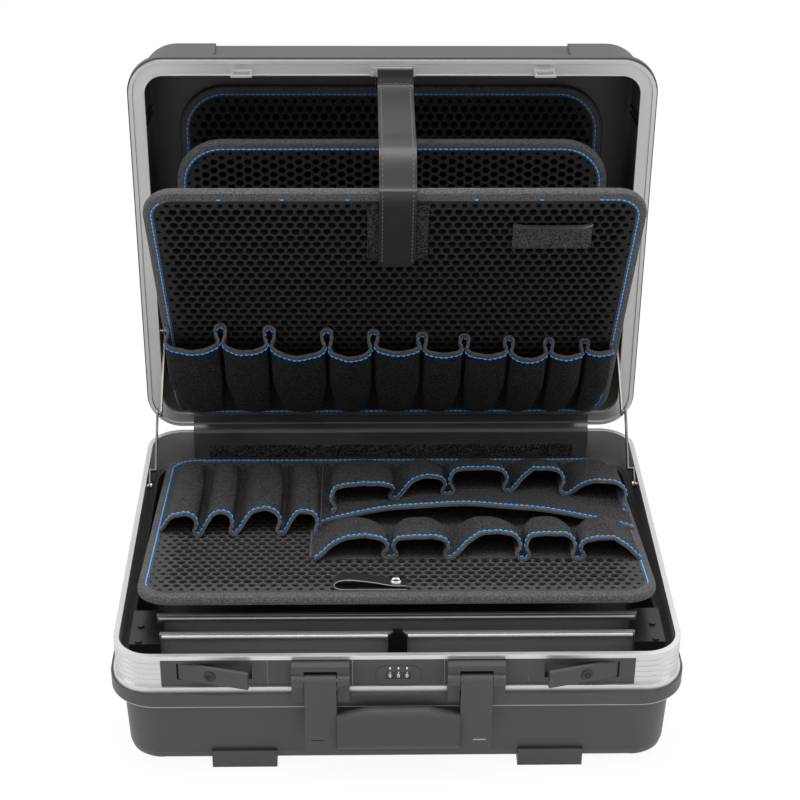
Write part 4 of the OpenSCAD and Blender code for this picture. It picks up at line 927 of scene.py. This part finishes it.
# The snap's cap as (radius, height) points.
SNAP_PROFILE = (
    (0.0, 4.4), (2.0, 4.3), (2.4, 3.8), (3.0, 3.8), (3.6, 5.0), (4.6, 5.1), (5.2, 4.3), (5.2, 2.0),
    (0.0, 2.0),
)


def make_pull_tab():
    """The leatherette loop on the base board, open like a drop at its left end, with cut edges and a snap."""
    path = even(smooth_path(TAB_ROUTE, 8), 1.2)
    grid = ribbon(path, TAB_WIDTH, 0.0, columns=7)
    swap = np.stack([grid[..., 1], TAB_MIDDLE + grid[..., 0], grid[..., 2]], axis=2)
    way = np.gradient(swap, axis=0)
    out = unit(np.stack([-way[..., 2], 0 * way[..., 0], way[..., 0]], axis=2))
    thickness = 1.3
    for name, kind, widen, deep, stands_for in (
        ("pull_tab_leather", "leatherette", 1.0, 1.0, ["pull_tab"]),
        ("pull_tab_edge", "raw leatherette edge", 1.02, 0.55, []),
    ):
        g = swap.copy()
        g[..., 1] = TAB_MIDDLE + (g[..., 1] - TAB_MIDDLE) * widen
        inset = (1 - deep) / 2 * thickness
        points, faces = closed_between(g + out * inset, g + out * (thickness - inset))
        piece(name, ON_BASE(points), faces, finish(kind), "tool_board", stands_for)
    points, faces = turned_profile(SNAP_PROFILE)
    points = points + np.array((-1.4, TAB_MIDDLE, 1.4))
    piece("snap_cap", ON_BASE(points), faces, finish("nickel plate"), "tool_board", ["snap_button"])


def make_hinge_cover():
    """The glossy strip over the hinge, from the rear frame over the gap to the lid's rim."""
    low, high = corner("hinge_cover", 0), corner("hinge_cover", 1)
    face = low[1] - 0.1
    on_base = [(face, low[2]), (face - 0.1, low[2] + 4), (face - 0.6, RIM_TOP - 2.5)]
    over = [(face + 0.4, RIM_TOP + 1.2), (face + 2.6, RIM_TOP + 3.8)]
    on_lid = [(LID_FACE - ahead, LID_FOOT + up) for ahead, up in ((1.4, 4.0), (1.0, 9.0), (0.9, 12.4))]
    path = even(smooth_path(on_base + over + on_lid, 8), 1.0)
    grid = ribbon(path, high[0] - low[0], 0.0, columns=81)
    wave = 0.18 * np.sin(grid[..., 0] * 0.06) * np.sin(np.linspace(0, math.pi, len(path)))[:, None]
    grid[..., 1] -= wave
    points, faces = both_faces(grid, 0.9)
    vinyl = finish("glossy vinyl")
    cover = piece("hinge_cover_strip", row_frame(points), faces, vinyl, None, ["hinge_cover"])
    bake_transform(cover)


# ---- locks and dials ----


def figure(text, height):
    """The outline of a figure from Blender's own plain font, filled, as points across and up and faces."""
    curve = bpy.data.curves.new("figure", "FONT")
    curve.body = text
    curve.size = height / 0.7
    curve.align_x = "CENTER"
    curve.resolution_u = 3
    holder = bpy.data.objects.new("figure", curve)
    mesh = bpy.data.meshes.new_from_object(holder)
    points = np.array([v.co for v in mesh.vertices])
    faces = [list(f.vertices) for f in mesh.polygons]
    bpy.data.objects.remove(holder)
    bpy.data.curves.remove(curve)
    bpy.data.meshes.remove(mesh)
    points[:, 1] -= (points[:, 1].min() + points[:, 1].max()) / 2
    return points, faces


FIGURE_HEIGHT = 3.4
PRINT_THICKNESS = 0.12


def dial_figures(name, node, body):
    """The ten white figures round one dial, each bent to the dial's radius, with 0 facing out."""
    low, high = corner(node, 0), corner(node, 1)
    middle = (low + high) / 2
    radius = (high[2] - low[2]) / 2 + 0.06
    points, faces, start = [], [], 0
    for k in range(10):
        flat, made = figure(str(k), FIGURE_HEIGHT)
        angle = flat[:, 1] / radius - k * math.tau / 10
        out, up = radius * np.cos(angle), radius * np.sin(angle)
        bent = np.stack([middle[0] + flat[:, 0], middle[1] - out, middle[2] + up], axis=1)
        points.append(bent)
        faces += [[i + start for i in f] for f in made]
        start += len(bent)
    mesh = bpy.data.meshes.new(name)
    mesh.from_pydata(row_frame(np.concatenate(points)).tolist(), [], faces)
    mesh.materials.append(finish("white print"))
    made = bpy.data.objects.new(name, mesh)
    bpy.context.scene.collection.objects.link(made)
    thicken = made.modifiers.new("thickness", "SOLIDIFY")
    thicken.thickness = PRINT_THICKNESS * MM
    thicken.offset = 1.0
    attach(made, body)


def make_dials():
    """White figures on the three dials and a short index mark over each."""
    marks = []
    for letter, node in (("a", "dial_1"), ("b", "dial_2"), ("c", "dial_3")):
        dial_figures("dial_figures_" + letter, node, "dial_" + letter)
        middle = (corner(node, 0)[0] + corner(node, 1)[0]) / 2
        front = corner("panel_centre", 0)[1]
        across, deep = (middle - 0.55, middle + 0.55), (front - 0.05, front + 0.3)
        marks.append(bar(across, deep, (RIM_TOP - 13.6, RIM_TOP - 11.6)))
    points, faces = joined(marks)
    piece("dial_marks", row_frame(points), faces, finish("white print"), "base")


KEY_RING = 4.8
RING_PROFILE = (
    (0, -0.3), (KEY_RING - 1.7, -0.3), (KEY_RING - 1.6, 0.35), (KEY_RING - 1.1, 0.6), (KEY_RING - 0.5, 0.6),
    (KEY_RING, 0.2), (KEY_RING, -0.6), (0, -0.6),
)
KEYWAY_TURN = math.radians(-38)


def make_keyholes():
    """A raised ring and a keyway on the face of each key cylinder."""
    c, d = math.cos(KEYWAY_TURN), math.sin(KEYWAY_TURN)
    ring, ring_faces = turned_profile(RING_PROFILE)
    hole, hole_faces = bar((-0.55, 0.55), (-2.3, 2.3), (-0.2, 0.16))
    hole = hole @ np.array([[c, d, 0], [-d, c, 0], [0, 0, 1]])
    up = np.array((0.0, 0.0, 1.0))
    for side, body in (("left", "key_l"), ("right", "key_r")):
        joint = next(j for j in frame["record"]["behaviour"]["joints"] if j["child"] == body)
        axis, pos = np.array(joint["axis"]), np.array(joint["pos_m"]) / MM
        out = axis if axis[1] < 0 else -axis
        co = np.array([v.co for v in frame["nodes"]["key_cylinder_" + side].data.vertices]) / MM
        face = ((co - pos) @ out).max()
        basis = np.array([unit(np.cross(up, out)), up, out])
        for kind, name, mesh, faces in (
            ("polished black", "key_ring_", ring, ring_faces),
            ("shadow gap", "keyway_", hole, hole_faces),
        ):
            points = pos + out * face + mesh @ basis
            piece(name + side, row_frame(points), faces, finish(kind), body)


BEAD_RADIUS = 2.6


def make_divider_beads():
    """The rounded bead along the upper edge of each divider, where the extrusion is rolled over."""
    clip = (corner("divider_clip", 0)[0] - 0.5, corner("divider_clip", 1)[0] + 0.5)
    for node, gaps in (("divider_front", [clip]), ("divider_rear", [])):
        low, high = corner(node, 0), corner(node, 1)
        at = np.array((0.0, low[1] - 0.6, high[2] - BEAD_RADIUS - 0.2))
        ends = [low[0] + 2, *(x for gap in gaps for x in gap), high[0] - 2]
        runs = [rod(at + (a, 0, 0), at + (b, 0, 0), BEAD_RADIUS) for a, b in zip(ends[::2], ends[1::2])]
        points, faces = joined(runs)
        piece(node + "_bead", row_frame(points), faces, finish("bead aluminium"), "base")


# The light grey strip that stands for the edge's highlight, as (inset, height) points: it stands a twentieth
# of a millimetre past the shell.
HIGHLIGHT_PROFILE = ((0.9, 0.5), (-0.05, 0.5), (-0.05, -0.3), (0.9, -0.3))


def make_flange_lip():
    """The thin lip that the mould's parting leaves along the lower edge of the flange, catching the light."""
    low, high = corner("base_shell", 0), corner("base_shell", 1)
    corners = [(low[0], low[1]), (high[0], low[1]), (high[0], high[1]), (low[0], high[1])]
    path, inward = outline(corners, FLANGE_RADIUS)
    ring = round_the_edge(path, inward, HIGHLIGHT_PROFILE)
    ring[..., 2] += FLANGE_LOW
    faces = [grid_faces(len(path), 4, wrap_rows=True, wrap_cols=True)]
    piece("flange_lip", row_frame(ring.reshape(-1, 3)), faces, finish("painted flange highlight"), "base")


ARM_MIDDLE = 70.0
SLIT_LENGTH = 11.0
SLIT_HEIGHTS = (43.6, 44.8)


def make_arm_slits():
    """The short slit near the foot of each handle arm."""
    for side, node, kind in ((-1, "handle_arm_left", "shadow gap"), (1, "handle_arm_right", "slit highlight")):
        front = corner(node, 0)[1]
        middle = side * ARM_MIDDLE
        across = (middle - SLIT_LENGTH / 2, middle + SLIT_LENGTH / 2)
        points, faces = bar(across, (front - 0.08, front + 0.4), SLIT_HEIGHTS)
        piece(node + "_slit", row_frame(points), faces, finish(kind), "handle")


RIB_INSET = 14.5
RIB_LEAN = 2.5
RIB_FROM = 12
RIB_TO = 52
RIB_HEIGHTS = (318.0, 325.0)


def make_lid_ribs():
    """Two moulded ribs that run back along each side wall inside the lid."""
    ribs = []
    inner = corner("lid_shell", 1)[0] - RIB_INSET
    turn = np.arange(8) * math.tau / 8
    for side in (-1, 1):
        for height in RIB_HEIGHTS:
            start = np.array((side * inner, LID_FACE + RIB_FROM, LID_FOOT + height))
            end = np.array((side * (inner - RIB_LEAN), LID_FACE + RIB_TO, LID_FOOT + height))
            way = np.linspace(0, 1, 12)[:, None, None]
            ring = np.stack([1.3 * np.cos(turn), 0 * turn, 1.1 * np.sin(turn)], axis=1)
            points = start + (end - start) * way + ring
            caps = np.array([np.arange(8)[::-1], np.arange(8) + 88])
            ribs.append((points.reshape(-1, 3), [grid_faces(12, 8, wrap_cols=True), caps]))
    points, faces = joined(ribs)
    piece("lid_wall_ribs", row_frame(points), faces, finish("polished inside"), "lid")


# ---- finishes ----


def linear(code):
    """An sRGB hex value as a linear colour with full alpha."""
    parts = [int(code[i : i + 2], 16) / 255 for i in (0, 2, 4)]
    return tuple(c / 12.92 if c <= 0.04045 else ((c + 0.055) / 1.055) ** 2.4 for c in parts) + (1.0,)


def add(tree, kind, inputs=None, **settings):
    """Adds one node with its settings; an input is a value or the socket that feeds it."""
    made = tree.nodes.new(kind)
    for key, value in settings.items():
        setattr(made, key, value)
    for key, value in (inputs or {}).items():
        if isinstance(value, bpy.types.NodeSocket):
            tree.links.new(value, made.inputs[key])
        else:
            made.inputs[key].default_value = value
    return made


def surface(name, **values):
    """A new material with a Principled shader whose sockets have these values, its tree and the shader."""
    made = bpy.data.materials.new(name)
    made.use_nodes = True
    tree = made.node_tree
    tree.nodes.clear()
    shader = add(tree, "ShaderNodeBsdfPrincipled", {k.replace("_", " "): v for k, v in values.items()})
    add(tree, "ShaderNodeOutputMaterial", {"Surface": shader.outputs[0]})
    return made, tree, shader


def stretched(tree, scale):
    """Object coordinates, in metres, multiplied by one scale for each axis."""
    where = add(tree, "ShaderNodeTexCoord").outputs["Object"]
    return add(tree, "ShaderNodeMapping", {"Vector": where, "Scale": scale}).outputs[0]


def grain(tree, scale, detail=3.0, rough=0.6):
    """Noise with so many cells to the metre on each axis; gives its value."""
    inputs = {"Vector": stretched(tree, scale), "Scale": 1.0, "Detail": detail, "Roughness": rough}
    return add(tree, "ShaderNodeTexNoise", inputs).outputs[0]


def tint(tree, fac, dark, light, low=0.3, high=0.7):
    """Turns a value into a colour between two, over the range from low to high."""
    ramp = add(tree, "ShaderNodeValToRGB", {"Fac": fac})
    ramp.color_ramp.elements[0].position, ramp.color_ramp.elements[0].color = low, dark
    ramp.color_ramp.elements[1].position, ramp.color_ramp.elements[1].color = high, light
    return ramp.outputs[0]


def relief(tree, height, strength, depth, normal=None):
    """Bump of that depth in millimetres."""
    inputs = {"Height": height, "Strength": strength, "Distance": depth * MM}
    if normal is not None:
        inputs["Normal"] = normal
    return add(tree, "ShaderNodeBump", inputs).outputs[0]


def shade(code, factor):
    """A colour darkened or lightened in linear light."""
    return tuple(min(1.0, c * factor) for c in linear(code)[:3]) + (1.0,)


def soft_edge(tree, radius):
    """Normals rounded over edges by a radius in millimetres, as a mould leaves them."""
    return add(tree, "ShaderNodeBevel", {"Radius": radius * MM}, samples=4).outputs[0]


def tones(code, low, high):
    """Two shades of a colour."""
    return shade(code, low), shade(code, high)


def mottled(name, cells, pair, bump, edge=None, detail=3.0, rough=0.6, span=(0.3, 0.7), **values):
    """A material whose colour runs between a pair over a noise with so many cells to the metre.

    The same noise is its relief, of a strength and a depth in millimetres, over edges rounded by edge.
    """
    made, tree, shader = surface(name, **values)
    noise = grain(tree, cells, detail, rough)
    tree.links.new(tint(tree, noise, *pair, *span), shader.inputs["Base Color"])
    rounded = soft_edge(tree, edge) if edge else None
    tree.links.new(relief(tree, noise, *bump, rounded), shader.inputs["Normal"])
    return made


def moulded_plastic():
    """Injection-moulded ABS: satin, dark grey in the light, its fine grain drawn 1.1 mm wide to show."""
    made, tree, shader = surface("moulded ABS", Roughness=0.46, IOR=1.53)
    fine = grain(tree, (900, 900, 900))
    broad = grain(tree, (6, 6, 6), detail=2.0)
    base = colours().shell
    colour = tint(tree, broad, shade(base, 0.88), shade(base, 1.12))
    tree.links.new(colour, shader.inputs["Base Color"])
    tree.links.new(relief(tree, fine, 0.32, 0.12, soft_edge(tree, 1.4)), shader.inputs["Normal"])
    return made


def glossy_inside():
    """The same ABS off a polished part of the mould, on the ribs inside the lid: near black and shiny."""
    pair = (linear("060606"), linear("0c0c0c"))
    return mottled("polished ABS", (60, 60, 60), pair, (0.1, 0.3), detail=2.0, Roughness=0.2, IOR=1.53)


def nylon():
    """Glass-filled nylon of the lock plates and handle: matt, its mottling drawn 0.8 mm wide to show."""
    pair = tones(colours().trim, 0.86, 1.14)
    cells = (1200, 1200, 1200)
    return mottled("glass-filled nylon", cells, pair, (0.18, 0.08), edge=0.5, Roughness=0.52, IOR=1.53)


def anodised(name, scale, rough=0.36, tone=1.0, metal=0.85):
    """Extruded aluminium, satin anodised: bright, with drawing lines along the profile."""
    made, tree, shader = surface(name, Metallic=metal, Roughness=rough)
    lines = grain(tree, scale, detail=4.0, rough=0.7)
    base = colours().aluminium
    colour = tint(tree, lines, shade(base, 0.84 * tone), shade(base, 1.05 * tone), 0.25, 0.75)
    tree.links.new(colour, shader.inputs["Base Color"])
    gloss = add(tree, "ShaderNodeMapRange", {"Value": lines, "To Min": rough - 0.08, "To Max": rough + 0.1})
    tree.links.new(gloss.outputs[0], shader.inputs["Roughness"])
    tree.links.new(relief(tree, lines, 0.14, 0.06, soft_edge(tree, 0.5)), shader.inputs["Normal"])
    return made


def felt(name, base):
    """Needle-punched polyester felt over black foam: short dull fibres, grey in the light, and dark holes."""
    made, tree, shader = surface(name, Roughness=0.95, Specular_IOR_Level=0.12)
    fibre = grain(tree, (800, 800, 800), detail=5.0, rough=0.75)
    fibres = tint(tree, fibre, shade(base, 0.45), shade(base, 1.7), 0.36, 0.64)
    foam_and_shade = add(tree, "ShaderNodeAttribute", attribute_name="foam_and_shade").outputs["Fac"]
    # Near black by depth in a hole: the black foam and painted shade.
    mixed = add(tree, "ShaderNodeMixRGB", {"Fac": foam_and_shade, "Color1": fibres, "Color2": linear("0b0b0b")})
    tree.links.new(mixed.outputs[0], shader.inputs["Base Color"])
    tree.links.new(relief(tree, fibre, 0.8, 0.35), shader.inputs["Normal"])
    return made


def pocket_cloth(name, base):
    """Plain-woven polyester, napped: threads 0.6 mm apart, drawn 1.6 mm apart so that the speckle shows."""
    made, tree, shader = surface(name, Roughness=0.9, Specular_IOR_Level=0.12)
    thread = grain(tree, (620, 620, 620), detail=4.0, rough=0.75)
    broad = grain(tree, (40, 40, 40), detail=2.0)
    speckle = tint(tree, thread, shade(base, 0.2), shade(base, 2.9), 0.4, 0.62)
    tree.links.new(speckle, shader.inputs["Base Color"])
    tree.links.new(relief(tree, thread, 0.8, 0.35, relief(tree, broad, 0.25, 1.5)), shader.inputs["Normal"])
    return made


def woven_tape(name, code):
    """Woven polyester tape: dull, its fine ribs drawn as a grain 1.4 mm wide so that they show."""
    pair = tones(code, 0.55, 1.5)
    bump, span = (0.5, 0.25), (0.36, 0.64)
    return mottled(name, (700, 700, 700), pair, bump, span=span, Roughness=0.85, Specular_IOR_Level=0.2)


def thread_of(name, code):
    """Twisted polyester sewing thread: satin, with a slight change of tone along it."""
    made, tree, shader = surface(name, Roughness=0.55, Sheen_Weight=0.2)
    twist = grain(tree, (700, 700, 700), detail=2.0)
    tree.links.new(tint(tree, twist, shade(code, 0.7), shade(code, 1.3)), shader.inputs["Base Color"])
    return made


def leatherette():
    """Vinyl-coated fabric: black, satin, its embossed grain drawn 2.4 mm wide so that it shows."""
    made, tree, shader = surface("leatherette", Roughness=0.42, IOR=1.5)
    inputs = {"Vector": stretched(tree, (420, 420, 420)), "Scale": 1.0}
    pores = add(tree, "ShaderNodeTexVoronoi", inputs, feature="DISTANCE_TO_EDGE").outputs[0]
    broad = grain(tree, (25, 25, 25), detail=2.0)
    base = colours().leather
    tree.links.new(tint(tree, broad, shade(base, 0.85), shade(base, 1.2)), shader.inputs["Base Color"])
    tree.links.new(relief(tree, pores, 0.35, 0.18), shader.inputs["Normal"])
    return made


def glossy_vinyl():
    """Smooth glossy vinyl of the hinge cover: dark with a long soft highlight."""
    pair = (linear("343436"), linear("454547"))
    return mottled("glossy vinyl", (18, 60, 60), pair, (0.12, 0.6), detail=2.0, Roughness=0.3, IOR=1.5)


def hook_tape():
    """Hook-and-loop tape: a mass of short black loops that swallows the light, drawn 1.9 mm wide to show."""
    pair = tones(colours().hook, 0.4, 14.0)
    pile = {"detail": 4.0, "rough": 0.8, "span": (0.44, 0.66)}
    dull = {"Roughness": 1.0, "Specular_IOR_Level": 0.15}
    return mottled("hook tape", (520, 520, 520), pair, (1.0, 0.5), **pile, **dull)


def rubber():
    """Soft-touch rubber of the grip: dark grey, dull, its very fine grain drawn 1 mm wide to show."""
    pair = (linear("2c2c2d"), linear("383839"))
    return mottled("soft rubber", (1000, 1000, 1000), pair, (0.3, 0.1), edge=1.0, Roughness=0.6, IOR=1.5)


def plated(name, code, rough):
    """Plated steel: bright metal with a faint cloudiness."""
    pair = tones(code, 0.85, 1.05)
    return mottled(name, (300, 300, 300), pair, (0.06, 0.05), edge=0.25, Metallic=1.0, Roughness=rough)


def plain(name, code, rough):
    """A smooth finish with a faint unevenness in tone."""
    return mottled(name, (500, 500, 500), tones(code, 0.93, 1.05), (0.1, 0.05), Roughness=rough)


FINISHES = {
    "moulded plastic": moulded_plastic,
    "polished inside": glossy_inside,
    "nylon": nylon,
    "base aluminium": lambda: anodised("anodised aluminium, level lines", (4, 4, 1600)),
    "lid aluminium": lambda: anodised("anodised aluminium, upright lines", (4, 1600, 4), tone=0.8),
    "rail aluminium": lambda: anodised("drawn aluminium", (4, 1400, 1400), 0.3, tone=0.75, metal=0.7),
    "bead aluminium": lambda: anodised("bright drawn aluminium", (4, 1400, 1400), 0.34, tone=0.7, metal=0.85),
    "needled felt": lambda: felt("needled felt", colours().felt),
    # The same felt as the base board's, darkened as painted shade.
    "shaded lid felt": lambda: felt("needled felt, painted shade", colours().lid_felt),
    "pocket cloth": lambda: pocket_cloth("pocket cloth", colours().cloth),
    # The same cloth as the base pockets', darkened as painted shade.
    "shaded lid cloth": lambda: pocket_cloth("pocket cloth, painted shade", colours().lid_cloth),
    "binding tape": lambda: woven_tape("binding tape", colours().tape),
    "hem tape": lambda: woven_tape("hem tape", colours().hem),
    "sewing thread": lambda: thread_of("blue sewing thread", colours().thread),
    "black thread": lambda: thread_of("black sewing thread", "3a3a3c"),
    "leatherette": leatherette,
    "raw leatherette edge": lambda: plain("raw leatherette edge", "a8a49c", 0.8),
    "glossy vinyl": glossy_vinyl,
    "hook tape": hook_tape,
    "rubber": rubber,
    "zinc plate": lambda: plated("zinc-plated steel", "b9b9ba", 0.3),
    "stay steel": lambda: plated("blackened spring steel", "77746f", 0.34),
    "nickel plate": lambda: plated("nickel-plated brass", "d8d3cc", 0.16),
    "polished black": lambda: plain("black-painted metal", "141415", 0.3),
    # Near black, painted shade in the keyway and in the left arm's slit.
    "shadow gap": lambda: plain("keyway shadow", "050505", 0.7),
    # Light grey, a painted highlight on the flange's lower edge.
    "painted flange highlight": lambda: plain("painted flange highlight", "8e8e8e", 0.35),
    # Light grey, a painted highlight at the right arm's slit.
    "slit highlight": lambda: plain("light at a slit", "9a9a9a", 0.4),
    "white print": lambda: plain("white screen print", "e8e8e6", 0.5),
}
MADE = {}


def finish(name):
    """The material of that finish, made once."""
    if name not in MADE:
        MADE[name] = FINISHES[name]()
    return MADE[name]


NODE_FINISH = {
    "moulded plastic": ("base_shell", "lid_shell", "feet"),
    "nylon": (
        "lock_plate_left", "lock_plate_right", "panel_left", "panel_centre", "panel_right", "lever_left",
        "lever_right", "handle_bracket_left", "handle_bracket_right", "handle_arm_left", "handle_arm_right",
        "dial_1", "dial_2", "dial_3",
    ),
    "base aluminium": ("base_frame", "hinge_leaf_base"),
    "lid aluminium": ("lid_frame", "hinge_leaf_lid", "strikers"),
    "rail aluminium": ("divider_front", "divider_rear"),
    "zinc plate": (
        "dial_axle", "lever_pins", "handle_pins", "hinge_pin", "stay_rivets_base", "stay_rivets_lid",
        "strap_anchor",
    ),
    "stay steel": ("stay_lower_left", "stay_lower_right", "stay_upper_left", "stay_upper_right"),
    "polished black": (
        "key_cylinder_left", "key_cylinder_right", "divider_holder_left", "divider_holder_right",
        "holder_screws", "divider_clip", "badge_plate",
    ),
    "leatherette": ("base_board_flap", "lid_board_flap"),
    "rubber": ("handle_grip",),
}


def dress_case():
    """Gives every construction piece that shows its finish."""
    for kind, names in NODE_FINISH.items():
        for name in names:
            mesh = frame["nodes"][name].data
            mesh.materials.clear()
            mesh.materials.append(finish(kind))


# ---- stage ----

# Focal length and optical centre are in pixels of a square view, places in millimetres, angles in radians.
PICTURE = 800
FOCAL = 1908.4
CENTRE = (397.2, 451.4)
CAMERA_AT = (-33.7, -1528.0, 1098.3)
YAW, PITCH, ROLL = 0.023736, 0.534070, 0.008378
SENSOR = 36.0


def make_camera():
    """The camera, in front of the case and above it, with a long lens, a vertical shift and a slight roll."""
    data = bpy.data.cameras.new("view")
    data.sensor_width = SENSOR
    data.lens = FOCAL / PICTURE * SENSOR
    data.shift_x = (PICTURE / 2 - CENTRE[0]) / PICTURE
    data.shift_y = (CENTRE[1] - PICTURE / 2) / PICTURE
    data.clip_end = 20.0
    made = bpy.data.objects.new("view", data)
    bpy.context.scene.collection.objects.link(made)
    ahead = Vector((math.sin(YAW) * math.cos(PITCH), math.cos(YAW) * math.cos(PITCH), -math.sin(PITCH)))
    right = Vector((math.cos(YAW), -math.sin(YAW), 0.0))
    up = right.cross(ahead)
    side = math.cos(ROLL) * right + math.sin(ROLL) * up
    top = math.cos(ROLL) * up - math.sin(ROLL) * right
    turn = Matrix((side, top, -ahead)).transposed()
    made.matrix_world = Matrix.Translation(Vector(CAMERA_AT) * MM) @ turn.to_4x4()
    bpy.context.scene.camera = made


def seen_directly(tree):
    """1 for rays from the camera, through glass or reflected, which see the background; else 0."""
    path = add(tree, "ShaderNodeLightPath").outputs
    total = path["Is Camera Ray"]
    for kind in ("Is Glossy Ray", "Is Transmission Ray"):
        both = {0: total, 1: path[kind]}
        total = add(tree, "ShaderNodeMath", both, operation="ADD", use_clamp=True).outputs[0]
    return total


def white_where_seen(tree, shader, share):
    """Mixes a shader with a share of plain white light where it is seen as background."""
    fac = add(tree, "ShaderNodeMath", {0: seen_directly(tree), 1: share}, operation="MULTIPLY").outputs[0]
    white = add(tree, "ShaderNodeEmission", {"Color": (1, 1, 1, 1), "Strength": 1.0}).outputs[0]
    return add(tree, "ShaderNodeMixShader", {0: fac, 1: shader, 2: white}).outputs[0]


def make_floor():
    """A pale floor that keeps the soft shadow of the case."""
    points, faces = bar((-6000, 6000), (-6000, 6000), (-12.0, -0.4))
    mesh = bpy.data.meshes.new("floor")
    mesh.from_pydata(row_frame(points).tolist(), [], faces[0].tolist())
    floor = bpy.data.objects.new("floor", mesh)
    bpy.context.scene.collection.objects.link(floor)
    made = bpy.data.materials.new("pale floor")
    made.use_nodes = True
    tree = made.node_tree
    tree.nodes.clear()
    matt = add(tree, "ShaderNodeBsdfDiffuse", {"Color": linear("f4f4f4")}).outputs[0]
    add(tree, "ShaderNodeOutputMaterial", {"Surface": white_where_seen(tree, matt, 0.93)})
    mesh.materials.append(made)


def make_world():
    """A studio surround, white where it is seen; as a light, bright overhead and dim at the horizon."""
    world = bpy.data.worlds.new("studio")
    bpy.context.scene.world = world
    world.use_nodes = True
    tree = world.node_tree
    tree.nodes.clear()
    way = add(tree, "ShaderNodeTexCoord").outputs["Generated"]
    up = add(tree, "ShaderNodeSeparateXYZ", {"Vector": way}).outputs["Z"]
    spread = {"Value": up, "From Min": 0.1, "From Max": 0.9, "To Min": 0.16, "To Max": 1.5}
    light = add(tree, "ShaderNodeMapRange", spread).outputs[0]
    choice = {"Value": seen_directly(tree), "To Min": light, "To Max": 1.0}
    strength = add(tree, "ShaderNodeMapRange", choice)
    back = add(tree, "ShaderNodeBackground", {"Color": (1, 1, 1, 1), "Strength": strength.outputs[0]})
    add(tree, "ShaderNodeOutputWorld", {"Surface": back.outputs[0]})


def lamp(name, at, aim, size, power):
    """A square soft box at a place in metres, aimed at a point."""
    data = bpy.data.lights.new(name, "AREA")
    data.size = size
    data.energy = power
    made = bpy.data.objects.new(name, data)
    bpy.context.scene.collection.objects.link(made)
    made.location = at
    made.rotation_euler = (Vector(aim) - Vector(at)).to_track_quat("-Z", "Y").to_euler()


def make_stage():
    """Floor, surround and lamps."""
    make_floor()
    make_world()
    lamp("overhead box", (0.0, 0.1, 2.1), (0, 0, 0.1), 1.5, 34)
    lamp("left box", (-2.0, -0.6, 1.0), (0, 0, 0.2), 1.1, 12)
    lamp("right box", (2.0, -0.6, 1.0), (0, 0, 0.2), 1.1, 12)
    bpy.context.scene.view_settings.view_transform = "Standard"


# ---- operators ----


def operator(name, label, task):
    """An operator class that carries out one task and takes its description from the task's docstring."""

    def execute(self, context):
        """Carries out the task, which raises if it can't finish."""
        task()
        return {"FINISHED"}

    class_name = "TOOLCASE_OT_" + name
    return type(
        class_name,
        (bpy.types.Operator,),
        {"bl_idname": "toolcase." + name, "bl_label": label, "__doc__": task.__doc__, "execute": execute},
    )


TASKS = (
    ("camera", "Place the camera", make_camera),
    ("stage", "Set the stage", make_stage),
    ("finishes", "Dress the construction", dress_case),
    ("boards", "Make the boards", make_boards),
    ("lid_pockets", "Sew the lid pockets", make_lid_pockets),
    ("base_pockets", "Sew the base pockets", make_base_pockets),
    ("label_pocket", "Sew the label pocket", make_label_pocket),
    ("hook_tapes", "Lay the hook tapes", make_hook_tapes),
    ("strap", "Make the strap", make_strap),
    ("pull_tab", "Make the pull tab", make_pull_tab),
    ("hinge_cover", "Lay the hinge cover", make_hinge_cover),
    ("dials", "Print the dials", make_dials),
    ("keyholes", "Make the keyholes", make_keyholes),
    ("divider_beads", "Roll the divider beads", make_divider_beads),
    ("flange_lip", "Mould the flange lip", make_flange_lip),
    ("arm_slits", "Cut the arm slits", make_arm_slits),
    ("lid_ribs", "Mould the lid ribs", make_lid_ribs),
)
OPERATORS = [operator(*task) for task in TASKS]


class TOOLCASE_PT_panel(bpy.types.Panel):
    """Lists the steps that build the case's looks."""

    bl_label = "Tool case"
    bl_idname = "TOOLCASE_PT_panel"
    bl_space_type = "VIEW_3D"
    bl_region_type = "UI"
    bl_category = "Tool case"

    def draw(self, context):
        """Lists every step, then the sizes and colours."""
        for made in OPERATORS:
            self.layout.operator(made.bl_idname)
        for group in (context.scene.case_sizes, context.scene.case_colours):
            for name in group.bl_rna.properties.keys():
                if name not in ("rna_type", "name"):
                    self.layout.prop(group, name)


CLASSES = (CaseSizes, CaseColours, *OPERATORS, TOOLCASE_PT_panel)


def register():
    """Registers the classes and hangs the sizes and colours on the scene."""
    for made in CLASSES:
        bpy.utils.register_class(made)
    bpy.types.Scene.case_sizes = bpy.props.PointerProperty(type=CaseSizes)
    bpy.types.Scene.case_colours = bpy.props.PointerProperty(type=CaseColours)


def unregister():
    """Undoes register."""
    del bpy.types.Scene.case_sizes
    del bpy.types.Scene.case_colours
    for made in reversed(CLASSES):
        bpy.utils.unregister_class(made)


def main():
    """Registers the add-on, runs its operators in order and writes both boxes."""
    register()
    for name, _, _ in TASKS:
        getattr(bpy.ops.toolcase, name)()


if __name__ == "__main__":
    main()
